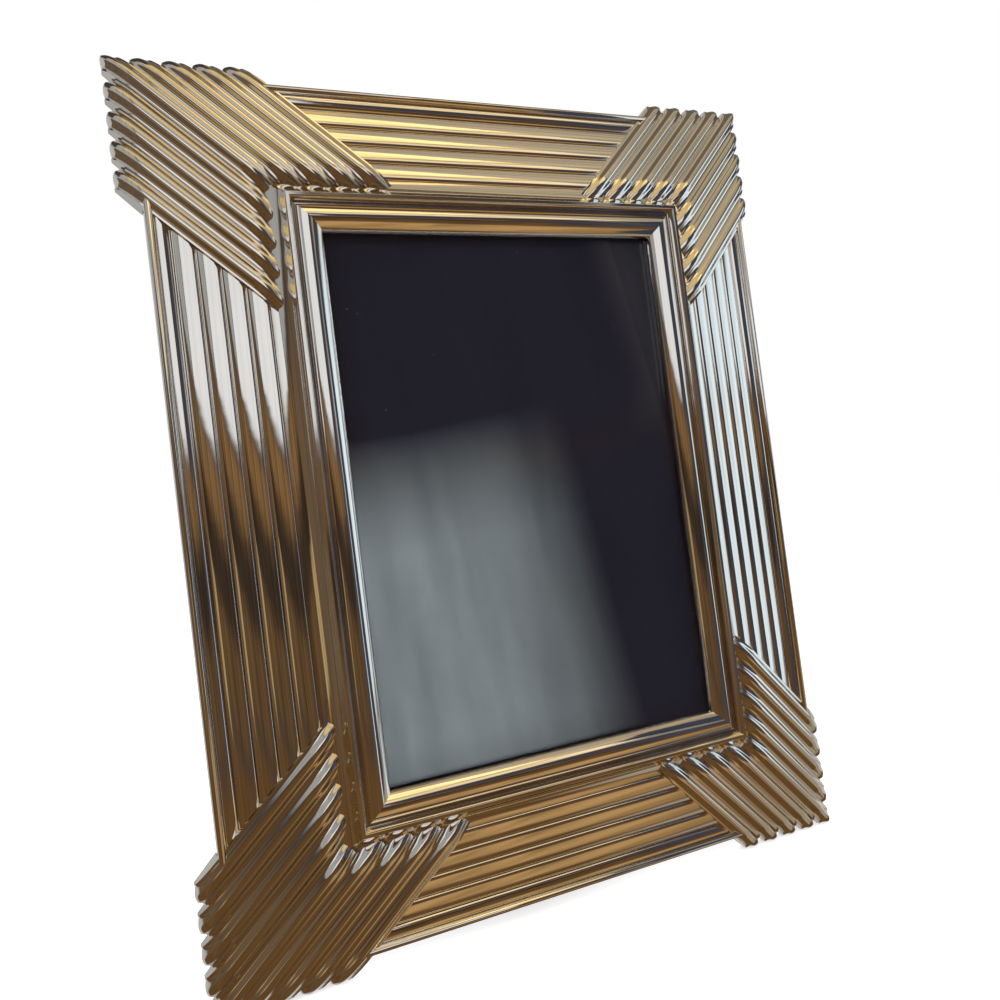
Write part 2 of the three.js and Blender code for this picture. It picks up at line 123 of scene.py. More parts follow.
class Sketch:
    """Short way to add and join the nodes of one tree."""

    def __init__(self, tree: bpy.types.NodeTree) -> None:
        """Start on an existing tree."""
        self.tree = tree

    @classmethod
    def fresh(cls, owner: Any) -> "Sketch":
        """Start on an empty tree.

        Args:
            owner: Material or world whose tree is emptied.

        Returns:
            Sketch of the tree.
        """
        owner.use_nodes = True
        owner.node_tree.nodes.clear()
        return cls(owner.node_tree)

    def feed(self, socket: Socket, value: Any) -> None:
        """Join an output to an input, or set the input's own value.

        Args:
            socket: Input socket.
            value: Output socket, number, colour or vector.
        """
        if isinstance(value, bpy.types.NodeSocket):
            self.tree.links.new(value, socket)
        else:
            socket.default_value = value

    def add(self, kind: str, inputs: Optional[dict[Any, Any]] = None, **settings: Any) -> bpy.types.Node:
        """Add one node.

        Args:
            kind: Blender's identifier of the node.
            inputs: What goes into its inputs, by their names or numbers.
            settings: Properties of the node.

        Returns:
            The new node.
        """
        node = self.tree.nodes.new(kind)
        for name, value in settings.items():
            setattr(node, name, value)
        for key, value in (inputs or {}).items():
            self.feed(node.inputs[key], value)
        return node

    def math(self, operation: str, a: Any, b: Any = 0.0) -> Socket:
        """Work out one operation on two values, or on the first alone."""
        return self.add("ShaderNodeMath", {0: a, 1: b}, operation=operation).outputs[0]

    def plus(self, a: Any, b: Any) -> Socket:
        """Add two values."""
        return self.math("ADD", a, b)

    def minus(self, a: Any, b: Any) -> Socket:
        """Take the second value from the first."""
        return self.math("SUBTRACT", a, b)

    def times(self, a: Any, b: Any) -> Socket:
        """Multiply two values."""
        return self.math("MULTIPLY", a, b)

    def vector(self, x: Any, y: Any, z: Any) -> Socket:
        """Combine three values."""
        return self.add("ShaderNodeCombineXYZ", {0: x, 1: y, 2: z}).outputs[0]

    def noise(self, vector: Socket, scale: float, detail: float = 2.0, rough: float = 0.5) -> Socket:
        """Add a Noise texture.

        Args:
            vector: Coordinates.
            scale: Waves for each unit of the coordinates.
            detail: Octaves.
            rough: Share of the fine octaves.

        Returns:
            Value output.
        """
        inputs = {"Vector": vector, "Scale": scale, "Detail": detail, "Roughness": rough}
        return self.add("ShaderNodeTexNoise", inputs).outputs["Fac"]

    def spread(self, value: Socket, low: float, high: float, to_low: float, to_high: float) -> Socket:
        """Map a value from one range to another, clamped.

        Args:
            value: Value to map.
            low: Start of its range.
            high: End of its range.
            to_low: Result at the start.
            to_high: Result at the end.

        Returns:
            Mapped value.
        """
        inputs = dict(enumerate((value, low, high, to_low, to_high)))
        return self.add("ShaderNodeMapRange", inputs, clamp=True).outputs["Result"]

    def within(self, value: Socket, low: float, high: float, soft: float) -> Socket:
        """Tell how far a value lies inside a range.

        Args:
            value: Value to look at.
            low: Start of the range.
            high: End of the range.
            soft: Width of the change at each end, inside the range.

        Returns:
            1 well inside, 0 outside.
        """
        return self.times(self.spread(value, low, low + soft, 0.0, 1.0),
                          self.spread(value, high - soft, high, 1.0, 0.0))

    def blend(self, share: Any, first: Any, second: Any) -> Socket:
        """Mix two colours.

        Args:
            share: Share of the second colour.
            first: Colour at share 0.
            second: Colour at share 1.

        Returns:
            Colour output.
        """
        node = self.add("ShaderNodeMix", data_type="RGBA")
        inputs = [socket for socket in node.inputs if socket.enabled]
        self.feed(inputs[0], share)
        for socket, colour in zip(inputs[1:], (first, second)):
            self.feed(socket, (*colour, 1.0) if isinstance(colour, tuple) else colour)
        return [socket for socket in node.outputs if socket.enabled][0]

    def bump(self, height: Socket, full_mm: float, below: Optional[Socket] = None) -> Socket:
        """Add a Bump node.

        Args:
            height: Height from 0 to 1.
            full_mm: Height of a full step in millimetres.
            below: Normal that the bump lies on.

        Returns:
            Normal output.
        """
        inputs = {"Strength": 1.0, "Distance": full_mm * MM, "Height": height}
        if below is not None:
            inputs["Normal"] = below
        return self.add("ShaderNodeBump", inputs).outputs["Normal"]

    def seen(self) -> Socket:
        """Tell whether the camera sees this, straight, mirrored or through glass.

        Returns:
            1 for such a ray, 0 for one that only carries light.
        """
        ray = self.add("ShaderNodeLightPath").outputs
        bent = self.math("MAXIMUM", ray["Is Glossy Ray"], ray["Is Transmission Ray"])
        return self.math("MAXIMUM", ray["Is Camera Ray"], bent)

    def glow(self, socket: str, value: Any) -> Socket:
        """Add an Emission shader with its colour or strength given."""
        return self.add("ShaderNodeEmission", {socket: value}).outputs[0]

    def end(self, shader: Socket, kind: str = "ShaderNodeOutputMaterial") -> None:
        """Join the last shader to the tree's output."""
        self.add(kind, {"Surface": shader})


class Paint:
    """A new material with a Principled shader and Object coordinates."""

    def __init__(self, name: str) -> None:
        """Make the material.

        Args:
            name: Name of the finish.
        """
        self.material = bpy.data.materials.new(name)
        self.material.use_nodes = True
        self.sketch = Sketch(self.material.node_tree)
        self.shader = self.material.node_tree.nodes["Principled BSDF"]
        self.place = self.sketch.add("ShaderNodeTexCoord").outputs["Object"]

    def stretch(self, scale: Triple, turn_deg: Triple) -> Socket:
        """Turn and stretch the coordinates.

        Args:
            scale: Scale along each axis.
            turn_deg: Turn about each axis in degrees.

        Returns:
            Mapped coordinates.
        """
        turn = [math.radians(angle) for angle in turn_deg]
        inputs = {"Vector": self.place, "Scale": scale, "Rotation": turn}
        return self.sketch.add("ShaderNodeMapping", inputs, vector_type="TEXTURE").outputs["Vector"]

    def set(self, **values: Any) -> bpy.types.Material:
        """Set or join sockets of the shader.

        Args:
            values: What goes into each socket, with underscores for the spaces in its name.

        Returns:
            The finish.
        """
        for name, value in values.items():
            socket = self.shader.inputs[name.replace("_", " ")]
            if isinstance(value, tuple) and socket.type == "RGBA":
                value = (*value, 1.0)
            self.sketch.feed(socket, value)
        return self.material


@dataclass(frozen=True)
class SilverPlate:
    """Mirror-polished silver plate with painted shade, brown and rougher, in its hollows, and a faint random
    brown haze.
    """

    bright: Colour = (0.91, 0.885, 0.845)
    # Colour of the painted shade in the hollows, also the tone of the random haze.
    shade_and_haze_colour: Colour = (0.33, 0.235, 0.15)
    # Strongest share of painted shade in the hollows, and the roughness that it adds.
    shade_share: float = 0.85
    shade_rough: float = 0.22
    haze: float = 0.1
    rough_low: float = 0.035
    rough_high: float = 0.085
    mark_rough: float = 0.03
    cloud_scale: float = 55.0
    haze_scale: float = 18.0
    smudge_scale: float = 32.0
    mark_scale: float = 900.0
    mark_stretch: Triple = (0.4, 0.02, 0.4)
    mark_turn_deg: Triple = (0.0, 0.0, 30.0)
    mark_mm: float = 0.0012
    ripple_scale: float = 120.0
    ripple_mm: float = 0.03

    def build(self) -> bpy.types.Material:
        """Make the material from the painted shade stored on the mesh's points, a random haze, a hammered
        ripple and polishing marks.

        Returns:
            The finish.
        """
        paint = Paint("polished_silver_plate")
        s = paint.sketch
        hollow = s.add("ShaderNodeAttribute", attribute_name="shade_mask").outputs["Fac"]
        clouds = s.noise(paint.place, self.cloud_scale, 4.0, 0.6)
        # Painted shade: darker and browner where the mesh marks a hollow, varied in clouds.
        shade_share = s.times(s.spread(hollow, 0.55, 1.0, 0.0, self.shade_share), s.spread(clouds, 0.3, 0.65, 0.35, 1.0))
        haze = s.spread(s.noise(paint.place, self.haze_scale, 3.0), 0.45, 0.75, 0.0, self.haze)
        # Painted shade in the hollows together with the random haze.
        shade_and_haze = s.math("MAXIMUM", shade_share, haze)
        marks = s.noise(paint.stretch(self.mark_stretch, self.mark_turn_deg), self.mark_scale, 3.0, 0.7)
        smudge = s.noise(paint.place, self.smudge_scale, 3.0, 0.55)
        polish = s.plus(s.spread(smudge, 0.4, 0.75, self.rough_low, self.rough_high),
                        s.spread(marks, 0.5, 0.8, 0.0, self.mark_rough))
        ripple = s.bump(s.noise(paint.place, self.ripple_scale, 1.5, 0.4), self.ripple_mm)
        return paint.set(
            Base_Color=s.blend(shade_and_haze, self.bright, self.shade_and_haze_colour),
            Metallic=1.0,
            Roughness=s.plus(polish, s.times(shade_and_haze, self.shade_rough)),
            Normal=s.bump(marks, self.mark_mm, ripple),
        )


@dataclass(frozen=True)
class ClearGlass:
    """Thin picture glass with a little settled dust."""

    tint: Colour = (0.955, 0.97, 0.965)
    bending: float = 1.5
    dust_cells: float = 420.0
    dust_cover: float = 0.8
    dust_patches: float = 190.0
    dust_rough: float = 0.6
    dust_clear: float = 0.25

    def build(self) -> bpy.types.Material:
        """Make the material with specks that stop the light.

        Returns:
            The finish.
        """
        paint = Paint("picture_glass")
        s = paint.sketch
        inputs = {"Vector": paint.place, "Scale": self.dust_cells}
        cells = s.add("ShaderNodeTexVoronoi", inputs, feature="F1")
        near = s.spread(cells.outputs["Distance"], 0.02, 0.05, self.dust_cover, 0.0)
        patches = s.spread(s.noise(paint.place, self.dust_patches, 4.0, 0.7), 0.58, 0.66, 0.0, 1.0)
        speck = s.times(near, patches)
        return paint.set(
            Base_Color=self.tint,
            Roughness=s.times(speck, self.dust_rough),
            IOR=self.bending,
            Transmission_Weight=s.spread(speck, 0.0, 1.0, 1.0, self.dust_clear),
        )


@dataclass(frozen=True)
class DarkSheet:
    """Blue-black display paper with a fine fibre."""

    light: Colour = (0.017, 0.015, 0.028)
    dark: Colour = (0.008, 0.007, 0.014)
    shine: float = 0.12
    fibre_scale: float = 1800.0
    fibre_stretch: Triple = (1.0, 0.2, 0.4)
    fibre_turn_deg: Triple = (16.0, 0.0, 12.0)
    fibre_share: float = 0.5
    fibre_mm: float = 0.02
    cloud_scale: float = 14.0
    cloud_share: float = 0.6

    def build(self) -> bpy.types.Material:
        """Make the material.

        Returns:
            The finish.
        """
        paint = Paint("blue_black_paper")
        s = paint.sketch
        fibre = s.noise(paint.stretch(self.fibre_stretch, self.fibre_turn_deg), self.fibre_scale, 3.0, 0.6)
        cloud = s.noise(paint.place, self.cloud_scale, 3.0)
        share = s.plus(s.times(fibre, self.fibre_share), s.times(cloud, self.cloud_share))
        return paint.set(
            Base_Color=s.blend(share, self.dark, self.light),
            Roughness=s.spread(fibre, 0.3, 0.7, 0.62, 0.8),
            Specular_IOR_Level=self.shine,
            Normal=s.bump(fibre, self.fibre_mm),
        )


@dataclass(frozen=True)
class GreyCard:
    """Grey pulp card with flecks."""

    light: Colour = (0.5, 0.48, 0.43)
    dark: Colour = (0.31, 0.295, 0.265)
    pulp_scale: float = 900.0
    pulp_mm: float = 0.08

    def build(self) -> bpy.types.Material:
        """Make the material.

        Returns:
            The finish.
        """
        paint = Paint("grey_pulp_card")
        s = paint.sketch
        pulp = s.noise(paint.place, self.pulp_scale, 5.0, 0.7)
        return paint.set(
            Base_Color=s.blend(s.spread(pulp, 0.3, 0.7, 0.0, 1.0), self.dark, self.light),
            Roughness=s.spread(pulp, 0.3, 0.7, 0.95, 0.8),
            Normal=s.bump(pulp, self.pulp_mm),
        )


@dataclass(frozen=True)
class Velvet:
    """Short black velvet whose pile is brushed one way and another."""

    deep: Colour = (0.0085, 0.0085, 0.0105)
    raised: Colour = (0.03, 0.03, 0.036)
    sheen_tint: Colour = (0.55, 0.56, 0.62)
    sheen: float = 0.55
    sheen_rough: float = 0.35
    shine: float = 0.2
    pile_scale: float = 3800.0
    pile_mm: float = 0.16
    brushed_scale: float = 42.0
    brushed_stretch: Triple = (1.0, 1.0, 0.35)
    brushed_turn_deg: Triple = (0.0, 12.0, 0.0)
    brushed_mm: float = 0.2

    def build(self) -> bpy.types.Material:
        """Make the material with a sheen over a fine pile.

        Returns:
            The finish.
        """
        paint = Paint("black_velvet")
        s = paint.sketch
        pile = s.noise(paint.place, self.pile_scale, 2.0, 0.6)
        way = paint.stretch(self.brushed_stretch, self.brushed_turn_deg)
        brushed = s.noise(way, self.brushed_scale, 4.0, 0.6)
        share = s.times(s.spread(brushed, 0.35, 0.7, 0.15, 1.0), s.spread(pile, 0.25, 0.7, 0.2, 1.0))
        return paint.set(
            Base_Color=s.blend(share, self.deep, self.raised),
            Roughness=s.spread(pile, 0.3, 0.7, 0.85, 0.98),
            Sheen_Weight=self.sheen,
            Sheen_Roughness=self.sheen_rough,
            Sheen_Tint=self.sheen_tint,
            Specular_IOR_Level=self.shine,
            Normal=s.bump(pile, self.pile_mm, s.bump(brushed, self.brushed_mm)),
        )


@dataclass(frozen=True)
class SatinMetal:
    """Rolled sheet metal with grain and a duller tone in patches."""

    name: str
    clean: Colour
    dull: Colour
    rough: float
    rough_grain: float = 0.07
    rough_dull: float = 0.14
    grain_scale: float = 2600.0
    grain_stretch: Triple = (0.03, 1.0, 1.0)
    grain_turn_deg: Triple = (0.0, 0.0, 8.0)
    grain_mm: float = 0.004
    patch_scale: float = 130.0

    def build(self) -> bpy.types.Material:
        """Make the material.

        Returns:
            The finish.
        """
        paint = Paint(self.name)
        s = paint.sketch
        grain = s.noise(paint.stretch(self.grain_stretch, self.grain_turn_deg), self.grain_scale, 3.0, 0.6)
        patch = s.spread(s.noise(paint.place, self.patch_scale, 4.0, 0.65), 0.42, 0.68, 0.0, 1.0)
        rolled = s.spread(grain, 0.3, 0.7, self.rough - self.rough_grain, self.rough + self.rough_grain)
        return paint.set(
            Base_Color=s.blend(patch, self.clean, self.dull),
            Metallic=1.0,
            Roughness=s.plus(rolled, s.times(patch, self.rough_dull)),
            Normal=s.bump(grain, self.grain_mm),
        )


@dataclass(frozen=True)
class Panel:
    """Leaning plane of the frame: u to the right, v up the panel, w out of its front, in millimetres."""

    lean_deg: float = 16.0
    glass_middle: float = 12.7

    def axes(self) -> tuple[Vector, Vector, Vector]:
        """Find the panel's directions.

        Returns:
            Directions of u, v and w in the row frame.
        """
        lean = math.radians(self.lean_deg)
        sine, cosine = math.sin(lean), math.cos(lean)
        return Vector((1, 0, 0)), Vector((0, sine, cosine)), Vector((0, -cosine, sine))

    def matrix(self) -> Matrix:
        """Place the panel by the glass.

        Returns:
            Matrix from panel millimetres to row metres.
        """
        low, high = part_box("glass_pane")
        across, up, out = self.axes()
        origin = (Vector(low) + Vector(high)) / 2 - out * (self.glass_middle * MM)
        turn = Matrix((across, up, out)).transposed().to_4x4()
        return Matrix.Translation(origin) @ turn @ Matrix.Scale(MM, 4)

    def direction(self, u: float, v: float, w: float) -> Vector:
        """Turn a panel direction into the row frame."""
        across, up, out = self.axes()
        return across * u + up * v + out * w


@dataclass
class Shell:
    """Plain arrays of a mesh: points, faces and the painted shade of each point, strongest deep in hollows.
    """

    points: np.ndarray
    faces: list[Face]
    shade_mask: np.ndarray

    @classmethod
    def of_mesh(cls, mesh: bpy.types.Mesh) -> "Shell":
        """Read a mesh back into arrays.

        Args:
            mesh: Mesh with an attribute of painted shade on its points.

        Returns:
            The arrays.
        """
        points = np.empty(len(mesh.vertices) * 3)
        mesh.vertices.foreach_get("co", points)
        shade_mask = np.zeros(len(mesh.vertices))
        mesh.attributes["shade_mask"].data.foreach_get("value", shade_mask)
        faces = [tuple(polygon.vertices) for polygon in mesh.polygons]
        return cls(points.reshape(-1, 3), faces, shade_mask)

    @classmethod
    def turned(cls, profile: Sequence[tuple[float, float]], facets: int) -> "Shell":
        """Turn a profile about the z axis and close both ends.

        Args:
            profile: Radius and height of each point.
            facets: Faces round the axis.

        Returns:
            Closed shell.
        """
        size = len(profile)
        points = [(radius * x, radius * y, height) for x, y in circle(facets) for radius, height in profile]
        faces = quads(facets, size, ring=True, tube=False)
        faces += [tuple(range(first, len(points), size)) for first in (0, size - 1)]
        return cls(np.array(points), faces, np.zeros(len(points)))

    def plus(self, other: "Shell") -> "Shell":
        """Put two shells into one set of arrays.

        Args:
            other: Shell to add.

        Returns:
            Both shells.
        """
        start = len(self.points)
        moved = [tuple(index + start for index in face) for face in other.faces]
        return Shell(np.vstack((self.points, other.points)), self.faces + moved,
                     np.concatenate((self.shade_mask, other.shade_mask)))

    def mesh(self, name: str, sharp_deg: float = 38.0) -> bpy.types.Mesh:
        """Make a smooth-shaded mesh with outward faces.

        Args:
            name: Name of the mesh.
            sharp_deg: Edges that bend more than this stay sharp.

        Returns:
            The mesh.
        """
        mesh = bpy.data.meshes.new(name)
        mesh.from_pydata(self.points.tolist(), [], self.faces)
        # Painted shade of each point, which darkens the plate's finish.
        layer = mesh.attributes.new("shade_mask", "FLOAT", "POINT")
        layer.data.foreach_set("value", np.asarray(self.shade_mask, dtype=np.float32))
        work = bmesh.new()
        work.from_mesh(mesh)
        bmesh.ops.recalc_face_normals(work, faces=work.faces)
        work.to_mesh(mesh)
        work.free()
        mesh.polygons.foreach_set("use_smooth", [True] * len(mesh.polygons))
        mesh.set_sharp_from_angle(angle=math.radians(sharp_deg))
        mesh.update()
        return mesh


@dataclass
class Workshop:
    """Turns meshes into finished pieces of the model, most of them laid out on the panel."""

    panel: Panel
    weld_mm: float = 0.002
    flat_deg: float = 1.0
    corner_deg: float = 35.0
    sharp_deg: float = 50.0

    def lay(self, name: str, mesh: bpy.types.Mesh, local: Optional[Matrix] = None) -> bpy.types.Object:
        """Place a mesh drawn in panel millimetres and link it at the origin.

        Args:
            name: Name of the piece.
            mesh: Mesh in millimetres.
            local: Place on the panel.

        Returns:
            The object.
        """
        mesh.transform(self.panel.matrix() @ (local or Matrix.Identity(4)))
        return link(name, mesh)

    def softened(self, name: str, node: str, radius: float, steps: int) -> bpy.types.Object:
        """Copy a solid and round its edges.

        Args:
            name: Name of the piece.
            node: Solid to copy.
            radius: Edge radius in millimetres.
            steps: Faces across each rounded edge.

        Returns:
            The object.
        """
        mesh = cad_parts[node].data.copy()
        mesh.name = name
        work = bmesh.new()
        work.from_mesh(mesh)
        bmesh.ops.remove_doubles(work, verts=work.verts, dist=self.weld_mm * MM)
        flat = math.radians(self.flat_deg)
        bmesh.ops.dissolve_limit(work, angle_limit=flat, verts=work.verts, edges=work.edges)
        corners = [edge for edge in work.edges if len(edge.link_faces) == 2
                   and edge.calc_face_angle(0.0) > math.radians(self.corner_deg)]
        bmesh.ops.bevel(work, geom=corners, offset=radius * MM, segments=steps, profile=0.5,
                        affect="EDGES", clamp_overlap=True)
        bmesh.ops.triangulate(work, faces=[face for face in work.faces if len(face.verts) > 4])
        bmesh.ops.recalc_face_normals(work, faces=work.faces)
        work.to_mesh(mesh)
        work.free()
        mesh.polygons.foreach_set("use_smooth", [True] * len(mesh.polygons))
        mesh.set_sharp_from_angle(angle=math.radians(self.sharp_deg))
        return link(name, mesh)

    def finish(self, piece: bpy.types.Object, body: str, slot: Slot, material: bpy.types.Material,
               nodes: Sequence[str]) -> None:
        """Dress a piece, tie it to its body and hide the solids that it stands for.

        Args:
            piece: Object to finish.
            body: Body that carries it.
            slot: Not used.
            material: Finish.
            nodes: Solids that it stands for.
        """
        piece.data.materials.clear()
        piece.data.materials.append(material)
        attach(piece, body)
        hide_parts(*nodes)
        LOG.info("%s rides on %s, %d faces", piece.name, body, len(piece.data.polygons))


class Pattern:
    """Geometry Nodes tree that repeats a prototype on computed points."""

    def __init__(self, prototype: bpy.types.Mesh, material: bpy.types.Material) -> None:
        """Start a tree with inputs for the prototype and its finish.

        Args:
            prototype: Mesh that is repeated.
            material: Finish of the copies.
        """
        self.prototype = prototype
        self.tree = bpy.data.node_groups.new(prototype.name + "_pattern", "GeometryNodeTree")
        self.sketch = Sketch(self.tree)
        for way in ("INPUT", "OUTPUT"):
            self.tree.interface.new_socket("Geometry", in_out=way, socket_type="NodeSocketGeometry")
        self.entry = self.sketch.add("NodeGroupInput")
        self.index = self.sketch.add("GeometryNodeInputIndex").outputs[0]
        self.values: dict[str, Any] = {}
        self.cover = self.size("Finish", material, "NodeSocketMaterial")

    def size(self, name: str, value: Any, kind: str = "NodeSocketFloat") -> Socket:
        """Add a named input and remember its value.

        Args:
            name: Name of the input.
            value: Value on the modifier.
            kind: Type of the socket.

        Returns:
            Output of the group's input node.
        """
        socket = self.tree.interface.new_socket(name, in_out="INPUT", socket_type=kind)
        self.values[socket.identifier] = value
        return self.entry.outputs[name]

    def split(self, length: Socket) -> tuple[Socket, Socket]:
        """Split the number of a point into rows.

        Args:
            length: Points in a row.

        Returns:
            Number of the point's row, and its place in the row.
        """
        s = self.sketch
        row = s.math("FLOOR", s.math("DIVIDE", s.plus(self.index, 0.5), length))
        return row, s.minus(self.index, s.times(row, length))

    def repeat(self, count: Socket, place: Socket, turn: Socket, chosen: Any = True) -> bpy.types.Mesh:
        """Put the prototype on the points, end the tree and evaluate it.

        Args:
            count: Number of points.
            place: Position field.
            turn: Rotation field.
            chosen: Field that picks the points, or True for all of them.

        Returns:
            Plain mesh with every copy in it.
        """
        s = self.sketch
        points = s.add("GeometryNodePoints", {"Count": count, "Position": place})
        copies = s.add("GeometryNodeInstanceOnPoints", {
            "Points": points.outputs[0], "Instance": self.entry.outputs["Geometry"],
            "Rotation": turn, "Selection": chosen,
        })
        real = s.add("GeometryNodeRealizeInstances", {"Geometry": copies.outputs[0]})
        dressed = s.add("GeometryNodeSetMaterial", {"Geometry": real.outputs[0], "Material": self.cover})
        s.add("NodeGroupOutput", {"Geometry": dressed.outputs[0]})
        carrier = link(self.tree.name, self.prototype)
        modifier = carrier.modifiers.new("pattern", "NODES")
        modifier.node_group = self.tree
        for identifier, value in self.values.items():
            modifier[identifier] = value
        graph = bpy.context.evaluated_depsgraph_get()
        mesh = bpy.data.meshes.new_from_object(carrier.evaluated_get(graph))
        carrier.modifiers.clear()
        bpy.data.objects.remove(carrier)
        return mesh


@dataclass
class Casting:
    """Plated casting: mitred reeded rails, nine diagonal ribs across each corner and screw bosses."""

    # Window and rail section, from the outer wall inward. A hollow is a point's painted shade, from 0 to 1.
    sight_width: float = 113.5
    sight_height: float = 165.0
    wall_ease: float = 0.35
    edge_bead: float = 2.5
    edge_rise: float = 1.9
    edge_groove: float = 6.5
    edge_dip: float = 0.35
    edge_steps: int = 14
    border_rise: float = 0.7
    roll_width: float = 6.3
    reed_count: int = 4
    reed_pitch: float = 6.15
    reed_height: float = 0.9
    reed_round: float = 0.5
    reed_flatness: int = 8
    reed_slope: float = 0.27
    reed_steps: int = 24
    reed_fade: int = 6
    band_width: float = 6.8
    cove_depth: float = 1.3
    cove_steps: int = 20
    cove_fade: int = 4
    fillet_width: float = 1.3
    fillet_height: float = 19.3
    fillet_ease: float = 0.2
    fillet_turn: tuple[float, float] = (0.02, 0.18)
    fillet_hollow: float = 0.1
    quirk_width: float = 1.6
    quirk_depth: float = 2.5
    quirk_floor: tuple[Triple, ...] = ((0.55, 0.1, 0.9), (0.35, 0.0, 1.0), (0.0, 0.0, 0.9))
    bead_width: float = 7.3
    bead_height: float = 1.8
    bead_fullness: float = 0.8
    bead_steps: int = 24
    groove_fade: int = 3
    lip_drop: float = 1.0
    lip_thickness: float = 1.8
    # Painted shade under the lip, in the rebate and at its rear edge.
    lip_hollows: Triple = (0.6, 0.3, 0.2)
    rebate_width: float = 7.5
    rebate_wall: float = 3.0
    rear_seat: float = 0.3
    face_wall: float = 2.4
    web_wall: float = 2.5
    outer_wall: float = 3.2
    # Painted shade on the roof of the hollow back.
    roof_hollow: float = 0.8
    # Corners, where the rails pass under the ribs, and the ribs themselves.
    corner_stations: int = 5
    mitre_station: int = 2
    hide_depth: float = 0.5
    hide_ease: float = 1.5
    ribs_each_side: int = 4
    rib_pitch: float = 8.6
    rib_overlap: float = 0.02
    rib_height: float = 1.4
    rib_lift: float = 1.35
    rib_skew: float = 0.5
    rib_root: float = 0.9
    rib_rows: int = 29
    # How far the painted shade reaches in from each side of a rib, where it meets the next.
    rib_hollow_start: float = 0.7
    rib_hollow_reach: float = 0.45
    crest_flat: float = 0.2
    crest_fall: float = 0.6
    crest_wave: float = 0.4
    crest_steps: int = 8
    tab_reach: float = 5.8
    nose_start: float = 1.8
    nose_height: float = 2.0
    nose_turn: float = 1.3
    nose_steps: int = 18
    tip_inset: float = 27.2
    tip_length: float = 10.0
    tip_point: float = 0.9
    tip_drop: float = 2.7
    tip_thinning: float = 0.5
    tip_steps: int = 16
    # Bosses for the turn buttons.
    boss_radius: float = 4.5
    boss_bore: float = 1.8
    boss_bore_top: float = 6.5
    boss_ease: float = 0.3
    boss_facets: int = 36
    boss_merge: float = 0.8
    boss_rows: int = 3
    boss_spacing: float = 60.0
    boss_turn_step: float = 12.9
    boss_turn_reach: float = 1.4

    @property
    def reeds_end(self) -> float:
        """Inset where the last reed ends."""
        return self.roll_width + self.reed_count * self.reed_pitch

    @property
    def fillet_start(self) -> float:
        """Inset of the top edge of the rising band."""
        return self.reeds_end + self.band_width

    @property
    def bead_start(self) -> float:
        """Inset where the inner bead rises out of the quirk."""
        return self.fillet_start + self.fillet_width + self.quirk_width

    @property
    def rail_width(self) -> float:
        """Width of a rail from its outer wall to the lip."""
        return self.bead_start + self.bead_width

    @property
    def half_width(self) -> float:
        """Half the width over the outer walls."""
        return self.sight_width / 2 + self.rail_width

    @property
    def half_height(self) -> float:
        """Half the height over the outer walls."""
        return self.sight_height / 2 + self.rail_width

    @property
    def pivot(self) -> float:
        """Distance of the boss centres from the upright middle line."""
        wall = self.sight_width / 2 + self.rebate_width + self.rebate_wall
        return wall + self.boss_radius - self.boss_merge

    def groove(self, inset: float) -> float:
        """Height of the reed grooves at an inset."""
        return self.edge_groove + self.reed_slope * (inset - self.roll_width)

    def roof(self, inset: float) -> float:
        """Height of the hollow's roof at an inset."""
        return self.groove(inset) - self.face_wall

    def valley(self, inset: float) -> float:
        """Height of the valleys between the ribs at an inset."""
        return self.groove(inset) + self.reed_height + self.rib_lift

    def under(self, inset: float) -> float:
        """Height of a rib's buried underside at an inset."""
        return self.groove(inset) - self.face_wall / 2

    def arched(self, inset: float, height: float, after: float, end: float, rise: float) -> list[Triple]:
        """Round reed between two grooves.

        Args:
            inset: Inset of the first groove.
            height: Height of the first groove.
            after: Inset of the second groove.
            end: Height of the second groove.
            rise: Height of the reed over its grooves.

        Returns:
            Inset, height and painted shade of each point after the first groove, shaded towards both
            grooves.
        """
        points = []
        for step in range(1, self.reed_steps + 1):
            share = step / self.reed_steps
            across = 2 * share - 1
            round_arch, flat_arch = 1 - across ** 2, 1 - across ** self.reed_flatness
            arch = self.reed_round * round_arch + (1 - self.reed_round) * flat_arch
            points.append((inset + (after - inset) * share, height + (end - height) * share + rise * arch,
                           max(0.0, abs(across) * self.reed_fade - (self.reed_fade - 1))))
        return points

    def front(self) -> list[Triple]:
        """Front of the rail section, with its edge bead, reeds, hollow band, fillet, quirk and inner bead.

        Returns:
            Inset, height and hollow of each point, from the outer wall to the lip.
        """
        line = []
        for step in range(self.edge_steps + 1):
            share = step / self.edge_steps
            turn = math.pi * share
            line.append((self.edge_bead * (1 - math.cos(turn)) / 2,
                         self.edge_groove + self.edge_dip * share + self.edge_rise * math.sin(turn),
                         max(0.0, 1 - (self.edge_steps - step) / self.groove_fade)))
        line += self.arched(self.edge_bead, self.edge_groove + self.edge_dip,
                            self.roll_width, self.edge_groove, self.border_rise)
        for reed in range(self.reed_count):
            inset = self.roll_width + reed * self.reed_pitch
            after = inset + self.reed_pitch
            line += self.arched(inset, self.groove(inset), after, self.groove(after), self.reed_height)
        low, top = self.groove(self.reeds_end), self.fillet_height
        chord = Vector((self.band_width, top - low))
        aside = Vector((chord.y, -chord.x)).normalized() * self.cove_depth
        for step in range(1, self.cove_steps):
            share = step / self.cove_steps
            bow = aside * (1 - (2 * share - 1) ** 2)
            line.append((self.reeds_end + chord.x * share + bow.x, low + chord.y * share + bow.y,
                         max(0.0, 1 - step / self.cove_fade)))
        start, edge = self.fillet_start, self.fillet_start + self.fillet_width
        ease, floor = self.fillet_ease, top - self.quirk_depth
        line += [(start + self.fillet_turn[0], top - self.fillet_turn[1], 0.0), (start + ease, top, 0.0),
                 (edge - ease, top, 0.0), (edge, top - ease, self.fillet_hollow)]
        for share, lift, hollow in self.quirk_floor:
            line.append((self.bead_start - self.quirk_width * share, floor + lift, hollow))
